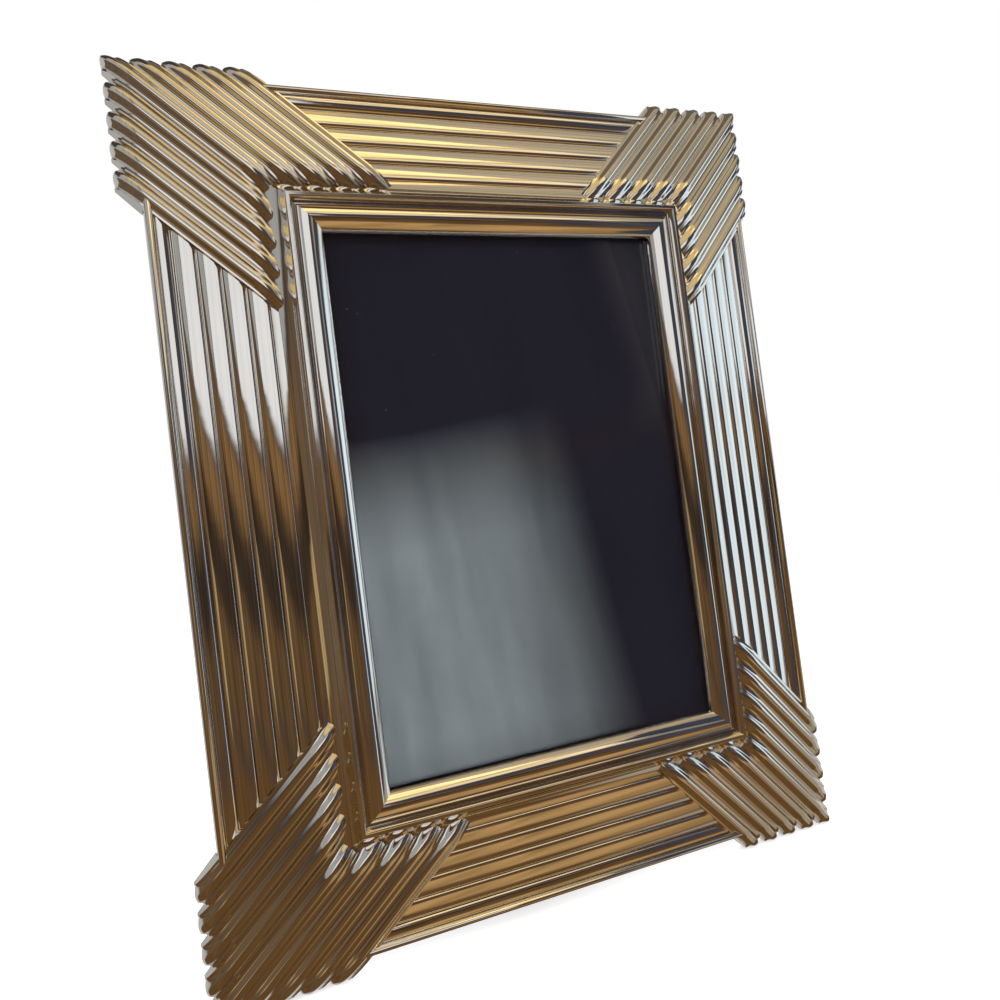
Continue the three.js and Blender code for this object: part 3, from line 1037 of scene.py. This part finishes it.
        for step in range(1, self.bead_steps + 1):
            share = step / self.bead_steps
            arch = math.sin(math.pi * share) ** self.bead_fullness
            line.append((self.bead_start + self.bead_width * share,
                         floor - self.lip_drop * share + self.bead_height * arch,
                         max(0.0, 1 - step / self.groove_fade)))
        return line

    def section(self) -> list[Triple]:
        """Whole rail section.

        Returns:
            Inset, height and painted shade of each point, from the outer wall over the front to the hollow
            back.
        """
        ease, seat = self.wall_ease, self.rear_seat
        lip = self.fillet_height - self.quirk_depth - self.lip_drop - self.lip_thickness
        wall = self.rail_width - self.rebate_width
        back = wall - self.rebate_wall
        web = (self.outer_wall + back) / 2
        inner, outer = web + self.web_wall / 2, web - self.web_wall / 2
        lip_hollow, rebate_hollow, seat_hollow = self.lip_hollows
        rear = [(self.rail_width, lip, lip_hollow), (wall, lip, rebate_hollow), (wall, seat, seat_hollow),
                (back, seat, 0.0), (back, self.roof(back), self.roof_hollow),
                (inner, self.roof(inner), self.roof_hollow), (inner, seat, 0.0),
                (outer, seat, 0.0), (outer, self.roof(outer), self.roof_hollow),
                (self.outer_wall, self.roof(self.outer_wall), self.roof_hollow),
                (self.outer_wall, ease, 0.0), (self.outer_wall - ease, 0.0, 0.0)]
        return [(ease, 0.0, 0.0), (0.0, ease, 0.0)] + self.front() + rear

    def rails(self) -> Shell:
        """Draw the section round the window, with mitred corners that dip under the ribs.

        Returns:
            Closed ring.
        """
        line = self.section()
        hidden = [(inset, min(height, self.valley(inset) - self.hide_depth), hollow)
                  if inset < self.roll_width else (inset, height, hollow) for inset, height, hollow in line]
        last = self.ribs_each_side * self.rib_pitch
        near, far = last - self.hide_ease, last + self.hide_ease
        points = []
        for sx, sy, across in ((1, 1, True), (-1, 1, False), (-1, -1, True), (1, -1, False)):
            for gap, level, form in ((far, not across, line), (near, not across, hidden),
                                     (0.0, across, hidden), (near, across, hidden), (far, across, line)):
                points += [(sx * (self.half_width - inset - (gap if level else 0.0)),
                            sy * (self.half_height - inset - (0.0 if level else gap)), height)
                           for inset, height, _ in form]
        stations = len(points) // len(line)
        faces = quads(stations, len(line), ring=True, tube=True)
        return Shell(np.array(points), faces, np.array([hollow for _, _, hollow in line] * stations))

    def rib_outline(self) -> list[tuple[float, float, float, float]]:
        """Side view of one rib at the level of the valleys between ribs.

        Returns:
            Distance out along the rib, height, and how far along and up the rounded crest swells there.
        """
        inner, start, tip = self.tip_inset, self.nose_start, -self.tab_reach
        lean = math.atan(self.reed_slope / ROOT2)
        line = []
        for step in range(self.tip_steps + 1):
            share = 1 - step / self.tip_steps
            inset = inner + self.tip_length * share / ROOT2
            line.append((-inset * ROOT2, self.valley(inset) - self.tip_drop * share ** 2,
                         math.sin(lean) * (1 - share) - self.tip_point * share,
                         1 - self.tip_thinning * share ** 2))
        for step in range(1, self.crest_steps + 1):
            inset = inner + (start - inner) * step / self.crest_steps
            line.append((-inset * ROOT2, self.valley(inset), math.sin(lean), math.cos(lean)))
        drop = self.valley(tip) - self.nose_height
        for step in range(1, self.nose_steps + 1):
            share = step / self.nose_steps
            turn = math.pi / 2 * share
            inset = start + (tip - start) * math.sin(turn)
            swell = lean + (math.pi / 2 - lean) * share ** self.nose_turn
            line.append((-inset * ROOT2, self.valley(inset) - drop * (1 - math.cos(turn)),
                         math.sin(swell), math.cos(swell)))
        end, root = -tip * ROOT2, -self.rib_root * ROOT2
        line += [(end, self.nose_height / 2, 1.0, 0.0), (end, 0.0, 1.0, 0.0), (root, 0.0, 0.0, 0.0),
                 (root, self.under(self.rib_root), 0.0, 0.0), (-inner * ROOT2, self.under(inner), 0.0, 0.0)]
        return line

    def rib(self, lean: int) -> Shell:
        """One rib along +x with a rounded crest and rounded ends, skewed to the line of its rail.

        Args:
            lean: Side that its ends are skewed to, or 0 for the pointed rib in the middle of a corner.

        Returns:
            Closed rib.
        """
        outline = self.rib_outline()
        size, rows = len(outline), self.rib_rows
        width = self.rib_pitch / ROOT2 + self.rib_overlap
        points, hollows = [], []
        for row in range(rows):
            share = row / (rows - 1) * 2 - 1
            fall = min(1.0, max(0.0, (abs(share) - self.crest_flat) / self.crest_fall))
            flat = 1 - fall * fall * (3 - 2 * fall)
            wave = 0.5 + 0.5 * math.cos(math.pi * share)
            swell = self.rib_height * (self.crest_wave * wave + (1 - self.crest_wave) * flat)
            across = width / 2 * share
            shift = self.rib_skew * (lean * across if lean else abs(across))
            points += [(out + along * swell - shift, across, height + up * swell)
                       for out, height, along, up in outline]
            # Painted shade darkens the rib towards its sides.
            hollows += [max(0.0, (abs(share) - self.rib_hollow_start) / self.rib_hollow_reach)] * size
        faces = quads(rows, size, ring=False, tube=True, flipped=True)
        faces += [tuple(range(size)), tuple(reversed(range(len(points) - size, len(points))))]
        return Shell(np.array(points), faces, np.array(hollows))

    def corner_ribs(self, lean: int, material: bpy.types.Material) -> Shell:
        """Repeat one kind of rib across the four corners.

        Args:
            lean: Side that the ends of this kind are skewed to.
            material: Finish of the ribs.

        Returns:
            All the ribs of this kind.
        """
        pattern = Pattern(self.rib(lean).mesh("corner_rib"), material)
        s = pattern.sketch
        each = pattern.size("Ribs each side", self.ribs_each_side, "NodeSocketInt")
        pitch = pattern.size("Rib pitch", self.rib_pitch)
        half_width = pattern.size("Half width", self.half_width)
        half_height = pattern.size("Half height", self.half_height)
        wanted = pattern.size("Lean", float(lean))
        row = s.plus(s.times(each, 2.0), 1.0)
        corner, number = pattern.split(row)
        step = s.minus(number, each)
        side = s.minus(1.0, s.times(s.math("MODULO", corner, 2.0), 2.0))
        lower = s.math("FLOOR", s.math("DIVIDE", s.plus(corner, 0.5), 2.0))
        level = s.minus(1.0, s.times(lower, 2.0))
        along = s.times(s.math("MAXIMUM", step, 0.0), pitch)
        down = s.times(s.math("MAXIMUM", s.times(step, -1.0), 0.0), pitch)
        place = s.vector(s.times(side, s.minus(half_width, along)),
                         s.times(level, s.minus(half_height, down)), 0.0)
        turn = s.vector(0.0, 0.0, s.math("ARCTAN2", level, side))
        kind = s.times(s.math("SIGN", step), s.times(side, level))
        chosen = s.math("LESS_THAN", s.math("ABSOLUTE", s.minus(kind, wanted)), 0.5)
        return Shell.of_mesh(pattern.repeat(s.times(row, 4.0), place, turn, chosen))

    def on_bosses(self, prototype: bpy.types.Mesh, material: bpy.types.Material) -> bpy.types.Mesh:
        """Repeat a prototype at every boss, in one upright row on each side of the window.

        Args:
            prototype: Mesh that is repeated.
            material: Finish of the copies.

        Returns:
            Mesh with every copy, each turned its own way.
        """
        pattern = Pattern(prototype, material)
        s = pattern.sketch
        count = pattern.size("Rows", self.boss_rows, "NodeSocketInt")
        gap = pattern.size("Spacing", self.boss_spacing)
        reach = pattern.size("Offset", self.pivot)
        side, row = pattern.split(count)
        middle = s.math("DIVIDE", s.minus(count, 1.0), 2.0)
        x = s.times(s.minus(s.times(side, 2.0), 1.0), reach)
        y = s.times(s.minus(row, middle), gap)
        turn = s.times(s.math("SINE", s.times(pattern.index, self.boss_turn_step)), self.boss_turn_reach)
        return pattern.repeat(s.times(count, 2.0), s.vector(x, y, 0.0), s.vector(0.0, 0.0, turn))

    def bosses(self, material: bpy.types.Material) -> Shell:
        """Repeat a round boss beside the rebate.

        Args:
            material: Finish of the bosses.

        Returns:
            All the bosses.
        """
        radius, seat = self.boss_radius, self.rear_seat
        top = self.roof(self.half_width - self.pivot) + self.face_wall / 2
        profile = [(self.boss_bore, self.boss_bore_top), (self.boss_bore, seat),
                   (radius - self.boss_ease, seat), (radius, seat + self.boss_ease), (radius, top)]
        boss = Shell.turned(profile, self.boss_facets)
        return Shell.of_mesh(self.on_bosses(boss.mesh("boss"), material))

    def build(self, shop: Workshop, material: bpy.types.Material) -> None:
        """Make the casting as one piece.

        Args:
            shop: Workshop that places it.
            material: Polished plate.
        """
        rails = self.rails()
        shell = rails
        for lean in (-1, 0, 1):
            shell = shell.plus(self.corner_ribs(lean, material))
        mesh = shell.plus(self.bosses(material)).mesh("frame_casting")
        total, size = len(rails.points), len(self.section())
        for edge in mesh.edges:
            first, second = (index // size for index in edge.vertices)
            mitred = first == second and first % self.corner_stations == self.mitre_station
            if mitred and max(edge.vertices) < total:
                edge.use_edge_sharp = True
        piece = shop.lay("frame_casting", mesh)
        for point in mesh.vertices:
            point.co.z = max(point.co.z, 0.0)
        shop.finish(piece, Body.FRAME.value, Slot.SILVER, material, ["front_frame"])


@dataclass
class Glazing:
    """Sheets behind the lip: glass, display paper and filler."""

    glass: ClearGlass = ClearGlass()
    paper: DarkSheet = DarkSheet()
    card: GreyCard = GreyCard()

    def build(self) -> None:
        """Dress the three sheets where they are."""
        sheets = {"glass_pane": self.glass, "display_insert": self.paper, "filler_pad": self.card}
        for node, finish in sheets.items():
            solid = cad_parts[node]
            solid.data.materials.clear()
            solid.data.materials.append(finish.build())
            LOG.info("%s dressed", node)


@dataclass
class Backing:
    """Covered board with its turn buttons and screws."""

    board_ease: float = 0.9
    board_steps: int = 4
    button_count: int = 6
    button_ease: float = 0.35
    button_steps: int = 3
    button_rear: float = -1.2
    seat_gap: float = 0.3
    head_radius: float = 3.2
    head_height: float = 1.0
    head_rings: tuple[float, ...] = (0.04, 0.12, 0.25, 0.45, 0.65, 0.82, 0.93, 1.0)
    head_facets: int = 48
    dome_drop: float = 0.45
    shank_radius: float = 1.5
    shank_end: float = 5.5
    slot_width: float = 0.8
    slot_depth: float = 0.5
    slot_ease: float = 0.08
    slot_side: float = 0.1

    def screw(self) -> Shell:
        """One slotted screw with a low domed head.

        Returns:
            Closed screw whose head faces -z.
        """
        front = self.button_rear - self.seat_gap
        rear = front - self.head_height
        around = circle(self.head_facets)
        points = []
        for ring in self.head_rings:
            reach, dome = self.head_radius * ring, self.dome_drop * ring ** 3
            for x, y in around:
                inside = (self.slot_width / 2 + self.slot_ease - abs(reach * y)) / self.slot_side
                cut = max(0.0, min(1.0, inside)) * self.slot_depth
                points.append((reach * x, reach * y, rear + dome + cut))
        lower = ((self.head_radius, front), (self.shank_radius, front), (self.shank_radius, self.shank_end))
        points += [(reach * x, reach * y, height) for reach, height in lower for x, y in around]
        rings = len(self.head_rings) + len(lower)
        faces = quads(rings, self.head_facets, ring=False, tube=True, flipped=True)
        faces += [tuple(reversed(range(self.head_facets))),
                  tuple(range(len(points) - self.head_facets, len(points)))]
        return Shell(np.array(points), faces, np.zeros(len(points)))

    def build(self, shop: Workshop, casting: Casting, velvet: bpy.types.Material,
              steel: bpy.types.Material) -> None:
        """Make the board, the buttons and the screws.

        Args:
            shop: Workshop that places them.
            casting: Casting that carries the bosses.
            velvet: Cover of the board.
            steel: Finish of buttons and screws.
        """
        board = shop.softened("covered_board", "back_board", self.board_ease, self.board_steps)
        shop.finish(board, Body.FRAME.value, Slot.VELVET, velvet, ["back_board"])
        numbers = range(1, self.button_count + 1)
        screws = casting.on_bosses(self.screw().mesh("button_screw"), steel)
        shop.finish(shop.lay("button_screws", screws), Body.FRAME.value, Slot.STEEL, steel,
                    [f"button_screw_{number}" for number in numbers])
        for number in numbers:
            node = f"turn_button_{number}"
            button = shop.softened(f"turn_plate_{number}", node, self.button_ease, self.button_steps)
            shop.finish(button, f"button_{number}", Slot.STEEL, steel, [node])


@dataclass
class Easel:
    """Riveted hinge and the covered strut that holds the frame up."""

    opening_deg: float = 29.0
    hinge_height: float = 10.0
    axis_depth: float = -2.2
    leaf_ease: float = 0.22
    pin_ease: float = 0.2
    hinge_steps: int = 2
    strut_ease: float = 0.8
    strut_steps: int = 4
    rivet_radius: float = 1.3
    rivet_facets: int = 40
    rivets_each: int = 2
    head_radius: float = 2.5
    head_height: float = 0.8
    dome_share: float = 0.85
    dome_top: float = 0.02
    dome_steps: int = 8
    plate_rivets: tuple[float, float] = (9.0, 10.0)
    plate_head: float = 0.9
    plate_tip: float = 4.1
    strap_rivets: tuple[float, float] = (9.0, 17.0)
    strap_head: float = -2.5
    strap_tip: float = 0.7

    def rivet(self, front: float, tip: float) -> Shell:
        """One domed rivet.

        Args:
            front: Height of the head's flat side.
            tip: Height of the shank's end.

        Returns:
            Closed rivet whose head faces -z.
        """
        rear = front - self.head_height
        profile = []
        for step in range(self.dome_steps + 1):
            turn = math.pi / 2 * step / self.dome_steps
            profile.append((max(self.dome_top, self.head_radius * math.sin(turn)),
                            rear + self.head_height * self.dome_share * (1 - math.cos(turn))))
        profile += [(self.head_radius, front), (self.rivet_radius, front), (self.rivet_radius, tip)]
        return Shell.turned(profile, self.rivet_facets)

    def rivet_row(self, prototype: bpy.types.Mesh, start: Triple, step: Triple,
                  material: bpy.types.Material) -> bpy.types.Mesh:
        """Repeat a rivet along a straight line.

        Args:
            prototype: Mesh of one rivet.
            start: Place of the first rivet.
            step: Way from one rivet to the next.
            material: Finish of the rivets.

        Returns:
            Mesh with every rivet of the row.
        """
        pattern = Pattern(prototype, material)
        s = pattern.sketch
        count = pattern.size("Copies", self.rivets_each, "NodeSocketInt")
        first = pattern.size("Start", start, "NodeSocketVector")
        way = pattern.size("Step", step, "NodeSocketVector")
        place = s.add("ShaderNodeVectorMath", {0: way, 1: pattern.index, 2: first}, operation="MULTIPLY_ADD")
        return pattern.repeat(count, place.outputs[0], s.vector(0.0, 0.0, 0.0))

    def axis(self, open_strut: bool) -> Matrix:
        """Place of the hinge axis on the panel.

        Args:
            open_strut: Whether the axis turns with the open strut.

        Returns:
            Matrix in panel millimetres.
        """
        place = Matrix.Translation((0.0, self.hinge_height, self.axis_depth))
        turn = Matrix.Rotation(math.radians(self.opening_deg), 4, "X")
        return place @ turn if open_strut else place

    def build(self, shop: Workshop, velvet: bpy.types.Material, brass: bpy.types.Material) -> None:
        """Make the hinge, its rivets and the strut.

        Args:
            shop: Workshop that places them.
            velvet: Cover of the strut.
            brass: Finish of the hinge.
        """
        for name, node, body, ease in (("fixed_leaf", "hinge_plate", Body.FRAME, self.leaf_ease),
                                       ("pivot_pin", "hinge_pin", Body.FRAME, self.pin_ease),
                                       ("moving_leaf", "hinge_strap", Body.STRUT, self.leaf_ease)):
            leaf = shop.softened(name, node, ease, self.hinge_steps)
            shop.finish(leaf, body.value, Slot.BRASS, brass, [node])
        across, rise = self.plate_rivets
        first, second = self.strap_rivets
        plate = self.rivet(self.plate_head, self.plate_tip)
        strap = self.rivet(self.strap_head, self.strap_tip)
        for leaf, rivet, start, step, body in (
                ("plate", plate, (-across, rise, 0.0), (2 * across, 0.0, 0.0), Body.FRAME),
                ("strap", strap, (0.0, -first, 0.0), (0.0, first - second, 0.0), Body.STRUT)):
            row = self.rivet_row(rivet.mesh(f"{leaf}_rivet"), start, step, brass)
            piece = shop.lay(f"{leaf}_rivets", row, self.axis(body is Body.STRUT))
            shop.finish(piece, body.value, Slot.BRASS, brass,
                        [f"{leaf}_rivet_{number + 1}" for number in range(self.rivets_each)])
        strut = shop.softened("covered_strut", "easel_strut", self.strut_ease, self.strut_steps)
        shop.finish(strut, Body.STRUT.value, Slot.VELVET, velvet, ["easel_strut"])


@dataclass(frozen=True)
class Zone:
    """Glowing patch of the surround, a painted reflection that the frame mirrors.

    Its sides are in degrees round the frame, from straight in front and positive to the right, and above
    it. The edge is softened inward, streaks darken the patch by a share, and a patch for the glass alone
    is found only by a perfectly smooth reflection.
    """

    left: float
    right: float
    low: float
    high: float
    colour: Colour
    soft: float
    streak: float
    glass_only: bool = False


@dataclass(frozen=True)
class Lamp:
    """Soft square lamp that faces the frame, in degrees, metres and watts."""

    name: str
    azimuth_deg: float
    elevation_deg: float
    distance: float
    size: float
    watts: float


@dataclass
class Studio:
    """Pale floor, glowing surround and dark card that paint the reflections, soft lamps and the camera at
    the photograph's angle.
    """

    lens: float = 29.655
    sensor: float = 36.0
    nearest: float = 0.01
    camera_place: Triple = (-110.07, -9.84, 253.51)
    camera_up: Triple = (0.1046, 0.9916, 0.0756)
    camera_forward: Triple = (0.38356, 0.0290, -0.92306)
    middle: Triple = (0.0, 0.0, 0.13)
    sky_light: float = 0.45
    floor_radius: float = 4.0
    floor_facets: int = 64
    floor_glow: float = 0.62
    floor_near: float = 0.22
    floor_far: float = 0.75
    floor_tones: tuple[Colour, Colour] = ((0.5, 0.5, 0.5), (0.56, 0.56, 0.56))
    floor_scale: float = 6.0
    floor_beyond: Colour = (0.0, 0.0, 0.0)
    # Dark card that paints a dark reflection on the right side of the frame.
    flag_right: float = 0.25
    flag_front: float = -0.27
    flag_back: float = -0.13
    flag_top: float = 0.45
    flag_tones: tuple[Colour, Colour] = ((0.02, 0.022, 0.035), (0.07, 0.075, 0.1))
    flag_scale: float = 30.0
    lamps: tuple[Lamp, ...] = (
        Lamp("soft_key", -48.0, 46.0, 1.6, 0.9, 26.0),
        Lamp("soft_fill", 62.0, 30.0, 1.8, 1.0, 14.0),
        Lamp("soft_rear", 170.0, 48.0, 1.7, 1.0, 16.0),
    )
    # Surround of glowing patches that paints the frame's reflections.
    dome_radius: float = 2.5
    dome_segments: int = 64
    dome_rings: int = 32
    dome_gaps: Colour = (0.06, 0.045, 0.035)
    streak_scale: float = 0.22
    streak_stretch: float = 0.12
    # Painted reflections: each zone is a glowing patch of the surround.
    zones: tuple[Zone, ...] = (
        Zone(-181, 181, -91, 1, (0.15, 0.078, 0.028), 3.0, 0.45),
        Zone(4, 42, -48, -10, (0.5, 0.3, 0.12), 7.0, 0.45),
        Zone(40, 80, -62, -8, (0.44, 0.37, 0.27), 6.0, 0.6),
        Zone(-181, 181, 0, 20, (0.15, 0.085, 0.038), 2.5, 0.75),
        Zone(-60, 44, 8, 17.5, (0.05, 0.034, 0.022), 3.0, 0.6),
        Zone(-60, 30, 16.5, 23.5, (0.27, 0.15, 0.06), 2.0, 0.75),
        Zone(-181, -100, -91, 32, (0.56, 0.56, 0.55), 8.0, 0.3),
        Zone(112, 181, -91, 32, (0.56, 0.56, 0.55), 8.0, 0.3),
        Zone(-112, -62, -14, 22, (0.15, 0.1, 0.06), 4.0, 0.4),
        Zone(-64, -48, -3, 10, (0.5, 0.36, 0.17), 2.0, 0.4),
        Zone(-125, -46, 23, 56, (0.4, 0.4, 0.39), 2.0, 0.3),
        Zone(-46, 12, 42, 56, (0.38, 0.39, 0.42), 3.0, 0.3),
        Zone(-46, 12, 23, 43, (0.86, 0.87, 0.88), 1.5, 0.2),
        Zone(34, 54, 17, 42, (0.32, 0.3, 0.27), 4.0, 0.4),
        Zone(12, 38, 19, 38, (0.06, 0.055, 0.07), 3.0, 0.5),
        Zone(12, 50, 40, 56, (1.1, 0.88, 0.55), 3.0, 0.4),
        Zone(44, 100, -12, 27, (0.88, 1.02, 1.1), 4.0, 0.35),
        Zone(100, 122, -12, 28, (0.1, 0.09, 0.08), 4.0, 0.5),
        Zone(74, 115, -30, -10, (0.64, 0.63, 0.58), 4.0, 0.5),
        Zone(46, 150, 31, 60, (0.42, 0.36, 0.26), 5.0, 0.4),
        Zone(-181, 181, 54, 91, (0.84, 0.6, 0.25), 3.0, 0.4),
        Zone(8, 52, 56, 80, (1.6, 1.2, 0.55), 4.0, 0.35),
        Zone(-181, -95, 30, 82, (0.06, 0.05, 0.045), 5.0, 0.3),
        Zone(118, 181, 30, 82, (0.16, 0.13, 0.1), 5.0, 0.3),
        Zone(48, 118, 54, 80, (0.55, 0.45, 0.31), 4.0, 0.6),
        Zone(-70, 10, 66, 68, (0.25, 0.17, 0.09), 1.5, 0.3),
        Zone(27, 46, -4, 20, (0.07, 0.068, 0.085), 3.0, 0.4),
        # Painted bright reflection seen on the glass alone.
        Zone(2, 30, -9, 23, (2.7, 3.1, 3.2), 9.0, 0.35, True),
    )

    def backdrop(self, mesh: bpy.types.Mesh, unseen: Sequence[str]) -> tuple[bpy.types.Object, Sketch]:
        """Put up an object that is not part of the frame, with an empty material of the same name.

        Args:
            mesh: Its mesh.
            unseen: Kinds of ray that pass it by.

        Returns:
            The object and the sketch of its material.
        """
        material = bpy.data.materials.new(mesh.name)
        mesh.materials.append(material)
        thing = link(mesh.name, mesh)
        for kind in unseen:
            setattr(thing, f"visible_{kind}", False)
        return thing, Sketch.fresh(material)

    def floor(self) -> None:
        """Lay a pale floor that looks white and keeps a soft shadow."""
        points = [(x * self.floor_radius, y * self.floor_radius, 0.0) for x, y in circle(self.floor_facets)]
        mesh = bpy.data.meshes.new("pale_floor")
        mesh.from_pydata(points, [], [tuple(range(self.floor_facets))])
        _, s = self.backdrop(mesh, ["glossy"])
        place = s.add("ShaderNodeTexCoord").outputs["Object"]
        reach = s.add("ShaderNodeVectorMath", {0: place}, operation="LENGTH").outputs["Value"]
        far = s.spread(reach, self.floor_near, self.floor_far, 0.0, 1.0)
        glow = s.glow("Strength", s.times(s.seen(), s.spread(far, 0.0, 1.0, self.floor_glow, 1.0)))
        near = s.blend(s.noise(place, self.floor_scale), *self.floor_tones)
        matte = s.add("ShaderNodeBsdfDiffuse", {"Color": s.blend(far, near, self.floor_beyond)}).outputs[0]
        s.end(s.add("ShaderNodeAddShader", {0: glow, 1: matte}).outputs[0])

    def surround(self) -> None:
        """Put up a round wall of glowing patches, painted reflections of a room, that only mirrored light
        finds.
        """
        mesh = bpy.data.meshes.new("studio_surround")
        work = bmesh.new()
        bmesh.ops.create_uvsphere(work, u_segments=self.dome_segments, v_segments=self.dome_rings,
                                  radius=self.dome_radius)
        work.to_mesh(mesh)
        work.free()
        dome, s = self.backdrop(mesh, ["camera", "diffuse", "shadow"])
        dome.location = self.middle
        place = s.add("ShaderNodeTexCoord").outputs["Object"]
        way = s.add("ShaderNodeVectorMath", {0: place}, operation="NORMALIZE").outputs[0]
        x, y, z = s.add("ShaderNodeSeparateXYZ", {0: way}).outputs
        degrees = 180 / math.pi
        azimuth = s.times(s.math("ARCTAN2", x, s.times(y, -1.0)), degrees)
        elevation = s.times(s.math("ARCSINE", z), degrees)
        band = s.vector(azimuth, s.times(elevation, self.streak_stretch), 0.0)
        streaks = s.spread(s.noise(band, self.streak_scale, 4.0, 0.65), 0.36, 0.6, 0.0, 1.0)
        smooth = s.add("ShaderNodeLightPath").outputs["Is Singular Ray"]
        colour: Any = self.dome_gaps
        for zone in self.zones:
            inside = s.times(s.within(azimuth, zone.left, zone.right, zone.soft),
                             s.within(elevation, zone.low, zone.high, zone.soft))
            if zone.glass_only:
                inside = s.times(inside, smooth)
            deep = tuple(part * (1 - zone.streak) for part in zone.colour)
            colour = s.blend(inside, colour, s.blend(streaks, deep, zone.colour))
        s.end(s.glow("Color", colour))

    def flag(self) -> None:
        """Stand a faintly glowing dark card to the right, a painted dark reflection that only mirrored light
        finds.
        """
        mesh = bpy.data.meshes.new("dark_flag")
        corners = ((self.flag_front, 0.0), (self.flag_back, 0.0),
                   (self.flag_back, self.flag_top), (self.flag_front, self.flag_top))
        mesh.from_pydata([(self.flag_right, y, z) for y, z in corners], [], [(0, 1, 2, 3)])
        _, s = self.backdrop(mesh, ["camera", "diffuse", "transmission", "shadow"])
        place = s.add("ShaderNodeTexCoord").outputs["Object"]
        s.end(s.glow("Color", s.blend(s.noise(place, self.flag_scale), *self.flag_tones)))

    def hang(self, lamp: Lamp) -> None:
        """Hang a lamp that no mirrored light finds.

        Args:
            lamp: Lamp to hang.
        """
        azimuth, elevation = math.radians(lamp.azimuth_deg), math.radians(lamp.elevation_deg)
        away = Vector((math.sin(azimuth) * math.cos(elevation), -math.cos(azimuth) * math.cos(elevation),
                       math.sin(elevation)))
        data = bpy.data.lights.new(lamp.name, "AREA")
        data.shape = "SQUARE"
        data.size = lamp.size
        data.energy = lamp.watts
        thing = link(lamp.name, data)
        thing.visible_glossy = False
        turn = away.to_track_quat("Z", "Y").to_matrix().to_4x4()
        thing.matrix_world = Matrix.Translation(Vector(self.middle) + away * lamp.distance) @ turn

    def sky(self) -> None:
        """Set a plain white surround that looks white and lights the frame gently."""
        world = bpy.data.worlds.new("white_surround")
        bpy.context.scene.world = world
        s = Sketch.fresh(world)
        strength = s.spread(s.seen(), 0.0, 1.0, self.sky_light, 1.0)
        back = s.add("ShaderNodeBackground", {"Color": (1.0, 1.0, 1.0, 1.0), "Strength": strength})
        s.end(back.outputs[0], "ShaderNodeOutputWorld")

    def camera(self, panel: Panel) -> None:
        """Set the camera where the photograph was taken from.

        Args:
            panel: Leaning plane that the camera was measured on.
        """
        data = bpy.data.cameras.new("photo_camera")
        data.sensor_width = self.sensor
        data.sensor_height = self.sensor
        data.lens = self.lens
        data.clip_start = self.nearest
        thing = link("photo_camera", data)
        forward = panel.direction(*self.camera_forward).normalized()
        right = forward.cross(panel.direction(*self.camera_up)).normalized()
        up = right.cross(forward)
        turn = Matrix((right, up, -forward)).transposed().to_4x4()
        thing.matrix_world = Matrix.Translation(panel.matrix() @ Vector(self.camera_place)) @ turn
        bpy.context.scene.camera = thing

    def build(self, panel: Panel) -> None:
        """Set up the whole studio.

        Args:
            panel: Leaning plane of the frame.
        """
        bpy.context.scene.view_settings.view_transform = "Standard"
        self.camera(panel)
        self.floor()
        self.surround()
        self.flag()
        for lamp in self.lamps:
            self.hang(lamp)
        self.sky()


def main() -> None:
    """Build and dress the frame."""
    logging.basicConfig(level=logging.INFO, format="%(name)s: %(message)s")
    panel = Panel()
    shop = Workshop(panel)
    Studio().build(panel)
    silver = SilverPlate().build()
    velvet = Velvet().build()
    steel = SatinMetal("bright_steel", (0.66, 0.655, 0.64), (0.42, 0.405, 0.38), rough=0.24).build()
    brass = SatinMetal("lacquered_brass", (0.7, 0.49, 0.2), (0.4, 0.255, 0.1), rough=0.27).build()
    casting = Casting()
    casting.build(shop, silver)
    Glazing().build()
    Backing().build(shop, casting, velvet, steel)
    Easel().build(shop, velvet, brass)


if __name__ == "__main__":
    main()
